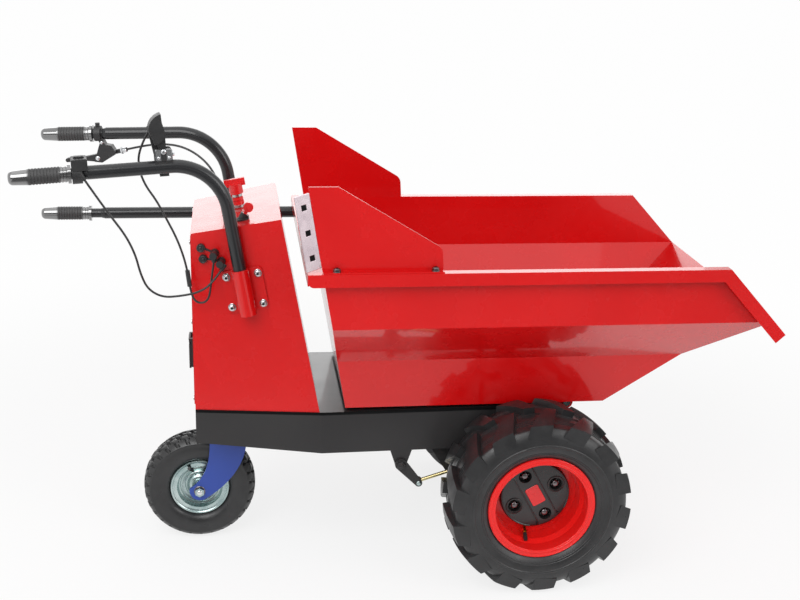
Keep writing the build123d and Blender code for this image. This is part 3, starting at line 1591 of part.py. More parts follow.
# Key switches on the box top
isolator_key_z = isolator_base_height + isolator_neck_height + part_gap
isolator_plane = Plane(top_plane.location * Location((isolator_along, isolator_across, 0)))
isolator_bore = isolator_neck_height + isolator_base_height / 2
with BuildPart() as isolator_base:
    with Locations(isolator_plane):
        Cylinder(isolator_base_radius, isolator_base_height, align=ALONG_Z)
        Cylinder(isolator_neck_radius, isolator_base_height + isolator_neck_height, align=ALONG_Z)
        with Locations((0, 0, isolator_base_height / 2)):
            Cylinder(
                isolator_stem_radius + running_gap, isolator_bore, align=ALONG_Z, mode=Mode.SUBTRACT
            )
save(isolator_base, "isolator_base")

with BuildPart() as isolator_key:
    with Locations(isolator_plane.offset(isolator_key_z)):
        Cylinder(isolator_skirt_radius, isolator_skirt_height, align=ALONG_Z)
        with Locations((0, 0, isolator_skirt_height - isolator_wing_height / 3)):
            Box(isolator_wing_length, isolator_wing_width, isolator_wing_height, align=ALONG_Z)
        with Locations((0, 0, part_gap - isolator_bore)):
            Cylinder(isolator_stem_radius, isolator_bore, align=ALONG_Z)
save(isolator_key, "isolator_key")

with BuildPart() as key_switch_barrel:
    with Locations(starter_plane):
        Cylinder(starter_radius, starter_height, align=ALONG_Z)
        Cylinder(starter_radius, starter_height, align=(Align.CENTER, Align.CENTER, Align.MAX))
    with Locations(top_plane):
        with Locations((starter_along, starter_across, 0)):
            Cylinder(starter_radius + 2 * sheet, sheet, align=ALONG_Z)
            Box(
                6 * starter_radius,
                6 * starter_radius,
                4 * starter_height,
                align=(Align.CENTER, Align.CENTER, Align.MAX),
                mode=Mode.SUBTRACT,
            )
    with Locations(starter_plane.offset(starter_height / 2)):
        Cylinder(starter_plug_radius + running_gap, starter_height, align=ALONG_Z, mode=Mode.SUBTRACT)
save(key_switch_barrel, "key_switch_barrel")

with BuildPart() as ignition_key:
    with Locations(starter_plane.offset(starter_height / 2 + part_gap)):
        Cylinder(starter_plug_radius, starter_height / 2, align=ALONG_Z)
    with Locations(starter_plane.offset(starter_height)):
        Box(starter_blade_width, starter_blade_wall, starter_blade_length, align=ALONG_Z)
    key_foot = Location((0, 0, starter_height + starter_blade_length / 2), (90, 0, 0))
    with BuildSketch(Plane(starter_plane.location * key_foot)):
        with Locations((0, starter_key_head / 2)):
            Circle(starter_key_head / 2)
    extrude(amount=starter_key_wall / 2, both=True)
save(ignition_key, "ignition_key")

# Panel sockets, plugs and the caps that hang beside them
with BuildPart() as panel_sockets:
    with Locations(right_plane):
        with Locations(*socket_pair):
            Cylinder(panel_socket_radius, panel_socket_height, align=ALONG_Z)
    with Locations(top_plane):
        with Locations((grommet_along, grommet_across)):
            Cylinder(grommet_radius, grommet_height / 2, align=ALONG_Z)
            Cylinder(grommet_radius / 2, grommet_height, align=ALONG_Z)
save(panel_sockets, "panel_sockets")

with BuildPart() as cable_plugs:
    with Locations(right_plane.offset(panel_socket_height)):
        with Locations(*socket_pair):
            Cylinder(plug_radius, plug_height, align=ALONG_Z)
    for route in (throttle_route, direction_route):
        cable_end = Vector(route[-1])
        into_plug = (cable_end - Vector(route[-2])).normalized()
        rod_between(cable_end, cable_end + into_plug * plug_tail_length, plug_tail_radius)
save(cable_plugs, "cable_plugs")

with BuildPart() as dust_caps:
    for cap, socket in zip(dust_cap_pair, socket_pair):
        along = Vector(socket) - Vector(cap)
        strap = along.length - panel_socket_radius - soft_gap
        turn = degrees(atan2(along.Y, along.X))
        with Locations(right_plane):
            with Locations(Location((cap[0], cap[1], 0), (0, 0, turn))):
                Box(strap, strap_width, strap_wall, align=(Align.MIN, Align.CENTER, Align.MIN))
                Cylinder(dust_cap_radius, dust_cap_height, align=ALONG_Z)
save(dust_caps, "dust_caps")

# Brake linkage on the right
rod_inner_y = rod_y - rod_eye_wall / 2
pin_inner_y = rod_inner_y - 1
with BuildPart() as brake_crank:
    with BuildSketch(Plane.XZ.offset(crank_outer_y - crank_wall)):
        with Locations((crank_pivot.X, crank_pivot.Z)):
            Circle(crank_eye_radius)
        with Locations((crank_end.X, crank_end.Z)):
            Circle(crank_tip_radius)
        make_hull()
    extrude(amount=crank_wall)
    shaft_inner_y = ear_inner_y - part_gap - crank_ear_wall
    cross_bar(crank_pivot.X, crank_pivot.Z, crank_shaft_radius, -crank_outer_y, -shaft_inner_y)
    cross_bar(
        crank_pivot.X, crank_pivot.Z, crank_eye_radius - 4, -ear_inner_y + part_gap, -shaft_inner_y
    )
    cross_bar(crank_end.X, crank_end.Z, link_pin_radius, -crank_outer_y, -pin_inner_y)
save(brake_crank, "brake_crank")

with BuildPart() as brake_rod:
    link_plane = Plane.XZ.offset(rod_inner_y)
    with BuildSketch(link_plane):
        with Locations((crank_end.X, crank_end.Z), (arm_end.X, arm_end.Z)):
            Circle(rod_eye_radius)
    extrude(amount=rod_eye_wall)
    rod_step = (arm_end - crank_end).normalized() * (rod_eye_radius - 1)
    rod_middle = Vector(0, -rod_y, 0)
    rod_between(crank_end + rod_step + rod_middle, arm_end - rod_step + rod_middle, rod_radius)
    rod_wide_y = rod_y + rod_eye_wall
    cross_bar(
        crank_end.X, crank_end.Z, link_pin_radius + running_gap, -rod_wide_y, -pin_inner_y, Mode.SUBTRACT
    )
    cross_bar(
        arm_end.X, arm_end.Z, link_pin_radius + open_pin_gap, -rod_wide_y, -pin_inner_y, Mode.SUBTRACT
    )
save(brake_rod, "brake_rod")

arm_outer_y = axle_tube_end_y - backing_plate_thickness - arm_wall / 2
arm_inner_y = arm_outer_y - arm_wall
with BuildPart() as brake_arm:
    with BuildSketch(Plane.XZ.offset(arm_inner_y)):
        with Locations((arm_pivot.X, arm_pivot.Z)):
            Circle(arm_eye_radius)
        with Locations((arm_end.X, arm_end.Z)):
            Circle(arm_eye_radius - 2)
        make_hull()
    extrude(amount=arm_wall)
    cross_bar(arm_pivot.X, arm_pivot.Z, arm_shaft_radius, -arm_inner_y, -axle_tube_end_y)
    cross_bar(arm_end.X, arm_end.Z, link_pin_radius, -arm_outer_y, -pin_inner_y)
save(brake_arm, "brake_arm")

# Cables
direction_cable = cord_tube(direction_route, cable_radius, "direction_cable")
save(direction_cable, "direction_cable")
throttle_cable = cord_tube(throttle_route, cable_radius, "throttle_cable")
save(throttle_cable, "throttle_cable")
brake_cable = cord_tube(brake_route, brake_cable_radius, "brake_cable")
save(brake_cable, "brake_cable")

with BuildPart() as cable_sleeve:
    sleeve_run = Vector(throttle_route[9]) - Vector(throttle_route[8])
    sleeve_middle = Vector(throttle_route[8]) + sleeve_run / 2
    sleeve_half = sleeve_run.normalized() * (cable_sleeve_length / 2)
    rod_between(sleeve_middle - sleeve_half, sleeve_middle + sleeve_half, cable_sleeve_radius)
    rod_between(
        sleeve_middle - sleeve_half,
        sleeve_middle + sleeve_half,
        cable_radius + running_gap,
        Mode.SUBTRACT,
    )
save(cable_sleeve, "cable_sleeve")
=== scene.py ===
import json
import math

import bmesh
import bpy
from mathutils import Matrix, Vector


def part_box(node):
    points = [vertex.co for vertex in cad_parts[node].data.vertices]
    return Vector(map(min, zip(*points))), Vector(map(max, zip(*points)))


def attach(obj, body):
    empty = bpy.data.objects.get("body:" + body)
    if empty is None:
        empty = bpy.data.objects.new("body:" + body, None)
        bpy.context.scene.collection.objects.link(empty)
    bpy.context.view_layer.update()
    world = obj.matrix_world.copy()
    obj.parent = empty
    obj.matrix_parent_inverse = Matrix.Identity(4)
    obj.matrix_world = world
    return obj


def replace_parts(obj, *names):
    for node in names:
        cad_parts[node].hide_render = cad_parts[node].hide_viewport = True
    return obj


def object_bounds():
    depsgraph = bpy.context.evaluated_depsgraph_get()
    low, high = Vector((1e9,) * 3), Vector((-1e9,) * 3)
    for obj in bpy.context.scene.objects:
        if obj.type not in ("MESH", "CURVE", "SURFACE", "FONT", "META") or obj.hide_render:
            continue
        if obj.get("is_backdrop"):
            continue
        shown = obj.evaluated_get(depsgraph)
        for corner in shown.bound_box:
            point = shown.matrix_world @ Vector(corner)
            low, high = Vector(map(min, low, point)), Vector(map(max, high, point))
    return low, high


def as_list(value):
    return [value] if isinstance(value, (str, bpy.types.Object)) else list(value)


# Looks of the electric mini dumper, in metres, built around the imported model.
# X points to the dumping end, Y to the operator's left, Z up.
# Small pieces are written in millimetres, on a place matrix that scales them to metres.

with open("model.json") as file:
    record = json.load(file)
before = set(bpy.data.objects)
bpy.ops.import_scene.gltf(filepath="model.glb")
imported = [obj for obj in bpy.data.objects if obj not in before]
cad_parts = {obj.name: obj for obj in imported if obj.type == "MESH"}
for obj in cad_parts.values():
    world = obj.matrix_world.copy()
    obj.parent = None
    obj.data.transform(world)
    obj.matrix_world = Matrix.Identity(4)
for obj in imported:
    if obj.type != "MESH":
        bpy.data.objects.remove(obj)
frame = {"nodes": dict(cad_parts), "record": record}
cad_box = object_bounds()
nodes = frame["nodes"]
joints = {joint["name"]: joint for joint in frame["record"]["behaviour"]["joints"]}
mm = 0.001
merge_distance = 0.000002  # vertices closer than this are one


# Camera at the photograph's viewing angle
image_width = 800  # pixels
focal_pixels = 1235.5
sensor_width = 36.0  # mm
farthest_seen = 200
camera_place = Vector((-337.1, -2587.4, 1407.3)) * mm
camera_yaw = math.radians(8.059)
camera_pitch = math.radians(18.077)
camera_roll = math.radians(1.587)


def add_camera():
    ahead = Vector((
        math.sin(camera_yaw) * math.cos(camera_pitch),
        math.cos(camera_yaw) * math.cos(camera_pitch),
        -math.sin(camera_pitch),
    ))
    level = Vector((math.cos(camera_yaw), -math.sin(camera_yaw), 0))
    upright = level.cross(ahead)
    right = math.cos(camera_roll) * level + math.sin(camera_roll) * upright
    up = math.cos(camera_roll) * upright - math.sin(camera_roll) * level
    lens = bpy.data.cameras.new("photo_camera")
    lens.sensor_width = sensor_width
    lens.lens = focal_pixels / image_width * sensor_width
    lens.clip_end = farthest_seen
    camera = bpy.data.objects.new("photo_camera", lens)
    turn = Matrix((right, up, -ahead)).transposed().to_4x4()
    camera.matrix_world = Matrix.Translation(camera_place) @ turn
    bpy.context.scene.collection.objects.link(camera)
    bpy.context.scene.camera = camera


# Node helpers for the materials
def srgb(red, green, blue):
    """A colour given as 0 to 255 screen values, as the linear colour that the shaders take."""
    linear = []
    for value in (red, green, blue):
        share = value / 255
        linear.append(share / 12.92 if share <= 0.04045 else ((share + 0.055) / 1.055) ** 2.4)
    return (*linear, 1)


def new_material(name):
    material = bpy.data.materials.new(name)
    material.use_nodes = True
    tree = material.node_tree
    return material, tree, tree.nodes["Principled BSDF"]


def coordinates(tree, output):
    """Texture coordinates that stay with the piece when it moves."""
    return tree.nodes.new("ShaderNodeTexCoord").outputs[output]


def split(tree, vector):
    """The X, Y and Z of a vector."""
    parts = tree.nodes.new("ShaderNodeSeparateXYZ")
    tree.links.new(vector, parts.inputs[0])
    return parts.outputs


def noise(tree, scale, detail, roughness=0.5):
    """Clouds of 0 to 1, about as many to the metre as the scale says."""
    texture = tree.nodes.new("ShaderNodeTexNoise")
    texture.inputs["Scale"].default_value = scale
    texture.inputs["Detail"].default_value = detail
    texture.inputs["Roughness"].default_value = roughness
    tree.links.new(coordinates(tree, "Object"), texture.inputs["Vector"])
    return texture.outputs["Fac"]


def drive(tree, shader, name, source, places, values):
    """Sets a shader input by colours or grey levels at given places of a 0 to 1 source."""
    ramp = tree.nodes.new("ShaderNodeValToRGB")
    elements = ramp.color_ramp.elements
    while len(elements) < len(places):
        elements.new(0.5)
    for element, place, value in zip(elements, places, values):
        element.position = place
        element.color = value if hasattr(value, "__len__") else (value, value, value, 1)
    tree.links.new(source, ramp.inputs["Fac"])
    tree.links.new(ramp.outputs["Color"], shader.inputs[name])


def add_bump(tree, shader, height, strength, distance):
    node = tree.nodes.new("ShaderNodeBump")
    node.inputs["Strength"].default_value = strength
    node.inputs["Distance"].default_value = distance
    tree.links.new(height, node.inputs["Height"])
    tree.links.new(node.outputs["Normal"], shader.inputs["Normal"])


def settle(shader, **values):
    """Sets shader inputs, named with underscores for spaces."""
    for name, value in values.items():
        shader.inputs[name.replace("_", " ")].default_value = value


# Materials: dark and light are screen colours, roughness is a range from glossy to dull
def paint(name, dark, light, roughness, coat, coat_roughness, peel=0.05):
    """Sprayed paint: slow colour drift, faint orange peel, uneven gloss."""
    material, tree, shader = new_material(name)
    drifts = noise(tree, scale=3.5, detail=2)
    drive(tree, shader, "Base Color", drifts, (0.3, 0.7), (srgb(*dark), srgb(*light)))
    patches = noise(tree, scale=14, detail=4, roughness=0.6)
    drive(tree, shader, "Roughness", patches, (0.3, 0.75), roughness)
    add_bump(tree, shader, noise(tree, scale=260, detail=2), strength=peel, distance=0.0004)
    settle(shader, Coat_Weight=coat, Coat_Roughness=coat_roughness, Specular_IOR_Level=0.25)
    return material


def metal(name, dark, light, roughness, bump=0.06):
    """Plated or bare metal with a cloudy tint and fine scratches."""
    material, tree, shader = new_material(name)
    clouds = noise(tree, scale=22, detail=4, roughness=0.6)
    drive(tree, shader, "Base Color", clouds, (0.3, 0.7), (srgb(*dark), srgb(*light)))
    patches = noise(tree, scale=90, detail=4, roughness=0.65)
    drive(tree, shader, "Roughness", patches, (0.3, 0.7), roughness)
    add_bump(tree, shader, noise(tree, scale=360, detail=2), strength=bump, distance=0.0003)
    settle(shader, Metallic=1.0)
    return material


def mottle(tree, shader, dark, light):
    """The uneven tint of moulded plastic and rubber."""
    clouds = noise(tree, scale=18, detail=5, roughness=0.65)
    drive(tree, shader, "Base Color", clouds, (0.3, 0.72), (srgb(*dark), srgb(*light)))


def polymer(name, dark, light, roughness, grain, bump, coat=0.0, shine=0.5):
    """Moulded plastic or rubber with a fine grain and a dull bloom in patches."""
    material, tree, shader = new_material(name)
    mottle(tree, shader, dark, light)
    patches = noise(tree, scale=45, detail=4, roughness=0.6)
    drive(tree, shader, "Roughness", patches, (0.3, 0.7), roughness)
    texture = noise(tree, scale=grain, detail=3, roughness=0.6)
    add_bump(tree, shader, texture, strength=bump, distance=0.0005)
    settle(shader, Coat_Weight=coat, Coat_Roughness=0.08, Specular_IOR_Level=shine)
    return material


def moulded_grip(name, dark, light):
    """Grip vinyl: polished at the plain end and the collar, dull on the ribs between them."""
    material, tree, shader = new_material(name)
    mottle(tree, shader, dark, light)
    along = split(tree, coordinates(tree, "Generated"))["X"]
    rib_edges = (0.30, 0.34, 0.80, 0.84)  # shares of the grip's length
    drive(tree, shader, "Roughness", along, rib_edges, (0.12, 0.6, 0.6, 0.12))
    drive(tree, shader, "Coat Weight", along, rib_edges, (1.0, 0.0, 0.0, 1.0))
    texture = noise(tree, scale=800, detail=3, roughness=0.6)
    add_bump(tree, shader, texture, strength=0.05, distance=0.0004)
    settle(shader, Specular_IOR_Level=0.8, Coat_Roughness=0.05, Coat_IOR=2.4)
    return material


red_paint = paint(
    "red_paint", (198, 10, 12), (208, 13, 15), (0.22, 0.32), coat=0.6, coat_roughness=0.03)
wheel_red = paint(
    "wheel_red", (220, 22, 20), (228, 27, 24), (0.26, 0.36), coat=0.4, coat_roughness=0.06)
black_paint = paint(
    "black_paint", (42, 41, 42), (51, 50, 50), (0.34, 0.46), coat=0.25, coat_roughness=0.2, peel=0.1)
bar_paint = paint(
    "bar_paint", (28, 29, 31), (36, 37, 39), (0.26, 0.36), coat=0.5, coat_roughness=0.12, peel=0.08)
deck_paint = paint(
    "deck_paint", (40, 40, 41), (52, 52, 54), (0.28, 0.4), coat=0.6, coat_roughness=0.1, peel=0.08)
blue_paint = paint(
    "blue_paint", (40, 66, 152), (52, 82, 168), (0.32, 0.42), coat=0.4, coat_roughness=0.12, peel=0.1)

zinc = metal("zinc", (150, 172, 172), (196, 210, 208), (0.16, 0.34))
yellow_zinc = metal("yellow_zinc", (190, 178, 126), (218, 208, 164), (0.22, 0.4))
steel = metal("steel", (92, 86, 88), (142, 136, 138), (0.16, 0.3))
# The rear bracket's bare metal, tinted pale pink as a painted reflection of the red paint around it.
rack_zinc_red_reflection = metal("rack_zinc_red_reflection", (196, 180, 187), (220, 205, 210), (0.2, 0.36))
chrome = metal("chrome", (206, 208, 210), (228, 230, 232), (0.07, 0.18), bump=0.02)
aluminium = metal("aluminium", (176, 178, 182), (202, 204, 208), (0.35, 0.55), bump=0.3)
brass = metal("brass", (186, 142, 66), (206, 166, 88), (0.2, 0.35))

black_plastic = polymer(
    "black_plastic", (33, 33, 34), (42, 42, 43), (0.38, 0.55), grain=900, bump=0.12)
cover_plastic = polymer(
    "cover_plastic", (30, 29, 30), (40, 38, 39), (0.24, 0.36), grain=900, bump=0.06, coat=0.35)
red_plastic = polymer(
    "red_plastic", (214, 22, 26), (226, 30, 32), (0.25, 0.38), grain=700, bump=0.05, coat=0.4)
soft_rubber = polymer(
    "soft_rubber", (34, 34, 35), (46, 46, 47), (0.30, 0.46), grain=800, bump=0.08, coat=0.15)
cable_rubber = polymer(
    "cable_rubber", (30, 30, 31), (40, 40, 41), (0.36, 0.5), grain=900, bump=0.06, coat=0.1)
# Near-black for painted shade: the gap along the deck's sides, the bolts' socket recesses and the holes of
# the rear bracket.
painted_shade_black = polymer(
    "painted_shade_black", (9, 10, 11), (15, 16, 17), (0.45, 0.6), grain=700, bump=0.08, shine=0.1)
tyre_rubber = polymer(
    "tyre_rubber", (32, 32, 33), (47, 47, 48), (0.27, 0.46), grain=420, bump=0.16)
grip_rubber = moulded_grip("grip_rubber", (34, 34, 35), (48, 47, 47))


# Every CAD node's finish
finishes = {
    red_paint: "hopper_shell wing_left wing_right box_casing rear_cover handlebar_sockets",
    wheel_red: "drive_rim_left drive_rim_right",
    black_paint: "chassis_frame transaxle_housing caster_plate brake_crank brake_arm",
    bar_paint: "handlebar_left handlebar_right tip_handle",
    deck_paint: "deck_plate",
    blue_paint: "caster_fork",
    steel: "lug_bolts_left lug_bolts_right wing_bolts",
    zinc: "caster_rim caster_axle axle_shaft_left axle_shaft_right hinge_pins",
    rack_zinc_red_reflection: "rear_bracket",
    yellow_zinc: "brake_rod",
    chrome: "fasteners",
    aluminium: "drive_motor motor_controller",
    cover_plastic: "hub_cover_left hub_cover_right",
    black_plastic: """batteries charge_inlet charge_cap
        throttle_clamp throttle_lever direction_switch_housing direction_rocker brake_bracket
        brake_lever panel_sockets cable_plugs dust_caps key_switch_barrel""",
    red_plastic: "isolator_key isolator_base ignition_key",
    grip_rubber: "grip_left grip_right tip_grip",
    soft_rubber: "rest_pads cable_sleeve",
    cable_rubber: "direction_cable throttle_cable brake_cable",
    tyre_rubber: "drive_tyre_left drive_tyre_right caster_tyre",
}


def finish_nodes():
    named = set()
    for material, names in finishes.items():
        for name in names.split():
            node = nodes[name]
            if not node.material_slots:
                node.data.materials.append(material)
            for slot in node.material_slots:
                slot.material = material
            named.add(name)
    missing = set(nodes) - named
    if missing:
        raise ValueError(f"no finish for {sorted(missing)}")


weld_distance = 0.00002
flat_angle = math.radians(0.5)  # triangles that lie within this are one face


def soften(name, width, segments=2, angle=32):
    """Rounds a CAD node's edges sharper than an angle, as folded sheet and castings have them."""
    node = nodes[name]
    weld = node.modifiers.new("weld", "WELD")
    weld.merge_threshold = weld_distance
    flatten = node.modifiers.new("flatten", "DECIMATE")
    flatten.decimate_type = "DISSOLVE"
    flatten.angle_limit = flat_angle
    bevel = node.modifiers.new("bevel", "BEVEL")
    bevel.width = width
    bevel.segments = segments
    bevel.limit_method = "ANGLE"
    bevel.angle_limit = math.radians(angle)
    bevel.use_clamp_overlap = True
    normals = node.modifiers.new("normals", "WEIGHTED_NORMAL")
    normals.keep_sharp = False


# Cables, along the points of the source's routes: diameter, length and points in millimetres
cable_routes = {
    "direction_cable": (4.4, 423.0, [
        (-615, -222, 878), (-593, -220, 842), (-569, -217, 804), (-544, -213, 766),
        (-527, -210, 726), (-519, -206, 685), (-506, -203, 652), (-478, -200, 634),
        (-444, -197, 635), (-408, -192, 640), (-381, -185, 655), (-362, -176, 681),
    ]),
    "throttle_cable": (4.4, 483.0, [
        (-496, -162, 962), (-514, -163, 930), (-519, -164, 893), (-507, -165, 856),
        (-485, -167, 824), (-468, -168, 789), (-450, -169, 752), (-437, -170, 715),
        (-429, -171, 681), (-425, -172, 648), (-420, -172, 624), (-411, -173, 613),
        (-397, -173, 612), (-387, -173, 622), (-383, -173, 646), (-380, -174, 671),
        (-376, -174, 698),
    ]),
    "brake_cable": (4.8, 288.0, [
        (-570, 203, 853), (-531, 191, 864), (-490, 176, 871), (-450, 159, 870),
        (-415, 140, 857), (-386, 121, 834), (-367, 105, 802), (-361, 105, 770),
    ]),
}


def add_cables():
    companions = {
        "direction_cable": [nodes["cable_plugs"]],
        "throttle_cable": [nodes["cable_sleeve"]],
        "brake_cable": [],
    }
    for name, (diameter, length, route) in cable_routes.items():
        curve = bpy.data.curves.new(name + "_line", "CURVE")
        curve.dimensions = "3D"
        spline = curve.splines.new("NURBS")
        spline.points.add(len(route) - 1)
        for point, place in zip(spline.points, route):
            point.co = (*(Vector(place) * mm), 1)
        spline.order_u = 3
        spline.use_endpoint_u = True
        spline.resolution_u = 16
        curve.bevel_depth = diameter / 2 * mm
        curve.bevel_resolution = 5
        curve.use_fill_caps = True
        cable = bpy.data.objects.new(name + "_line", curve)
        bpy.context.scene.collection.objects.link(cable)
        curve.materials.append(cable_rubber)
        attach(cable, "chassis")
        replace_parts(cable, name)
        Vector(route[0]) * mm
        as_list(companions[name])


# Shapes of the small pieces
def place_at(origin, axis, across=(0, 0, 1)):
    """A place whose Z runs along an axis and whose X leans to a second direction."""
    along = Vector(axis).normalized()
    side = Vector(across)
    side = (side - along * along.dot(side)).normalized()
    turn = Matrix((side, along.cross(side), along)).transposed().to_4x4()
    return Matrix.Translation(Vector(origin) * mm) @ turn @ Matrix.Scale(mm, 4)


def joint_spot(name):
    return Vector(joints[name]["pos_m"]) / mm


def circle(radius, level, steps=32):
    turns = [2 * math.pi * step / steps for step in range(steps)]
    return [(radius * math.cos(turn), radius * math.sin(turn), level) for turn in turns]


def rounded(width, height, corner, level, steps=5):
    """A rectangle with round corners."""
    loop = []
    for quarter, (side, up) in enumerate(((1, 1), (-1, 1), (-1, -1), (1, -1))):
        for step in range(steps + 1):
            turn = math.pi / 2 * (quarter + step / steps)
            across = side * (width / 2 - corner) + corner * math.cos(turn)
            along = up * (height / 2 - corner) + corner * math.sin(turn)
            loop.append((across, along, level))
    return loop


def stacked(shape, loops, place, capped=True):
    """Skin over loops that have the same number of points."""
    rings = [[shape.verts.new(place @ Vector(point)) for point in loop] for loop in loops]
    count = len(rings[0])
    for first, second in zip(rings, rings[1:]):
        for step in range(count):
            shape.faces.new((first[step - 1], first[step], second[step], second[step - 1]))
    if capped:
        shape.faces.new(rings[0][::-1])
        shape.faces.new(rings[-1])


def turned(shape, profile, place, steps=64):
    """A closed section of (radius, level) points turned round the place's axis."""
    loops = [circle(radius, level, steps) for radius, level in profile + profile[:1]]
    stacked(shape, loops, place, capped=False)


def tube(shape, points, radius, place, closed=False, steps=10):
    """A round bar along points, with flat ends or joined to a ring."""
    points = [Vector(point) for point in points]
    count = len(points)
    turns = [2 * math.pi * step / steps for step in range(steps)]
    loops = []
    for index, point in enumerate(points):
        ahead = points[(index + 1) % count] if closed or index + 1 < count else point
        behind = points[index - 1] if closed or index else point
        along = (ahead - behind).normalized()
        side = along.orthogonal() if not loops else side - along * along.dot(side)
        side.normalize()
        up = along.cross(side)
        loops.append([point + radius * (math.cos(turn) * side + math.sin(turn) * up) for turn in turns])
    stacked(shape, loops + loops[:1] if closed else loops, place, not closed)


def ring(shape, radius, level, thickness, place, points=120, steps=10):
    """A round bar bent to a closed ring; the thickness is the bar's radius."""
    tube(shape, circle(radius, level, points), thickness, place, closed=True, steps=steps)


def arc(radius, first, last, level, steps):
    """Points on part of a circle, given by angles in degrees."""
    turns = [math.radians(first + (last - first) * step / steps) for step in range(steps + 1)]
    return [(radius * math.cos(turn), radius * math.sin(turn), level) for turn in turns]


def between(foot, tip, *shares):
    """Points on the line from foot to tip, at shares of its length."""
    return [foot + (tip - foot) * share for share in shares]


def disc(shape, radius, bevel, levels, place):
    """A flat disc whose top edge is bevelled, at the levels of its bottom, shoulder and top."""
    bottom, shoulder, top = levels
    loops = [circle(radius, bottom), circle(radius, shoulder), circle(radius - bevel, top)]
    stacked(shape, loops, place)


def slab(shape, width, height, bevel, corners, levels, place):
    """A flat plate with round corners, bevelled like a disc, with its corners' radii below and on top."""
    low, high = corners
    bottom, shoulder, top = levels
    outer = [rounded(width, height, low, level) for level in (bottom, shoulder)]
    stacked(shape, outer + [rounded(width - bevel, height - bevel, high, top)], place)


def add_piece(name, shape, material, body, angle=35):
    """A finished piece on a body, whose edges sharper than an angle stay hard."""
    mesh = bpy.data.meshes.new(name)
    bmesh.ops.remove_doubles(shape, verts=shape.verts, dist=merge_distance)
    bmesh.ops.recalc_face_normals(shape, faces=shape.faces)
    shape.to_mesh(mesh)
    shape.free()
    mesh.polygons.foreach_set("use_smooth", [True] * len(mesh.polygons))
    mesh.set_sharp_from_angle(angle=math.radians(angle))
    mesh.materials.append(material)
    piece = bpy.data.objects.new(name, mesh)
    bpy.context.scene.collection.objects.link(piece)
    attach(piece, body)
    return piece


def dome(shape, radius, height, place, level=0.0, steps=24):
    """A low round head."""
    rises = [(1.0, 0.0), (1.0, 0.35), (0.9, 0.65), (0.7, 0.86), (0.4, 0.97), (0.1, 1.0)]
    loops = [circle(radius * share, level + height * rise, steps) for share, rise in rises]
    stacked(shape, loops, place)


def hexagon(shape, across, height, place, level=0.0):
    """A nut with worn corners."""
    corner = across / math.sqrt(3)
    loops = [
        circle(corner, level, 6),
        circle(corner, level + 0.86 * height, 6),
        circle(0.9 * corner, level + height, 6),
    ]
    stacked(shape, loops, place)


def islands(shape):
    """The groups of vertices that hang together, in an order that doesn't change between runs."""
    left = dict.fromkeys(shape.verts)
    while left:
        front = [left.popitem()[0]]
        group = list(front)
        while front:
            vertex = front.pop()
            for edge in vertex.link_edges:
                other = edge.other_vert(vertex)
                if other in left:
                    del left[other]
                    group.append(other)
                    front.append(other)
        yield group


def bolt_heads(name):
    """The middle and the outward direction of each bolt head's flat top in a CAD node."""
    shape = bmesh.new()
    shape.from_mesh(nodes[name].data)
    shape.transform(nodes[name].matrix_world)
    bmesh.ops.remove_doubles(shape, verts=shape.verts, dist=merge_distance)
    shape.normal_update()
    heads = []
    for group in islands(shape):
        planes = {}
        for face in dict.fromkeys(face for vertex in group for face in vertex.link_faces):
            level = face.normal.dot(face.calc_center_median())
            key = (*(round(part, 2) for part in face.normal), round(level, 4))
            planes.setdefault(key, []).append(face)
        top = max(planes.values(), key=lambda faces: sum(face.calc_area() for face in faces))
        corners = dict.fromkeys(vertex for face in top for vertex in face.verts)
        middle = sum((vertex.co for vertex in corners), Vector()) / len(corners)
        heads.append((middle / mm, top[0].normal.copy()))
    shape.free()
    return heads


# Drive wheels; levels run outwards from the wheel's middle plane
wheel_centre = (294.0, 265.0, 200.0)  # of the left wheel
band_lean = Matrix.Rotation(math.radians(29.0), 4, "Z")  # of the band across the hub cover
cover_level = 7.0  # the band's face


def wheel_place(side, level=0.0):
    """A place on a wheel's axis, with X to the front and Y up, side -1 on the right."""
    centre_x, centre_y, centre_z = wheel_centre
    turn = Matrix(((1, 0, 0), (0, 0, side), (0, 1, 0))).to_4x4()
    spot = Vector((centre_x, side * (centre_y + level), centre_z)) * mm
    return Matrix.Translation(spot) @ turn @ Matrix.Scale(mm, 4)


def add_hub_plate(side, body, label):
    plate = bmesh.new()
    place = wheel_place(side, cover_level) @ band_lean
    slab(plate, width=30, height=44, bevel=1.2, corners=(3.5, 3), levels=(0, 0.9, 1.4), place=place)
    add_piece("hub_plate_" + label, plate, red_plastic, body)


def add_cover_lines(side, body, label):
    """Raised lines along the band's edges, and ridges round the side bolts and the cover's rim."""
    line_radius, line_rise = 1.5, 0.2
    ridge_radius, ridge_drop = 2.0, 2.3
    band_half, flare, flare_end, flare_drop = 22.0, 28.0, 66, 1.5
    bolt_reach, bolt_ridge, rim_ridge = 50.0, 17.0, 72.5
    on_band = wheel_place(side, cover_level + line_rise) @ band_lean
    beside_band = wheel_place(side, cover_level - ridge_drop) @ band_lean
    lines = bmesh.new()
    for edge in (-1, 1):
        first, last = ((edge * flare, end, -flare_drop) for end in (-flare_end, flare_end))
        straight = [(edge * band_half, along, 0) for along in range(-60, 61, 10)]
        tube(lines, [first, *straight, last], line_radius, on_band)
        bolt = Matrix.Translation((edge * bolt_reach, 0, 0))
        ring(lines, radius=bolt_ridge, level=0, thickness=ridge_radius, place=beside_band @ bolt, points=60)
        round_rim = arc(radius=rim_ridge, first=90 - edge * 35, last=90 - edge * 145, level=0, steps=30)
        tube(lines, round_rim, ridge_radius, beside_band)
    add_piece("cover_lines_" + label, lines, cover_plastic, body)


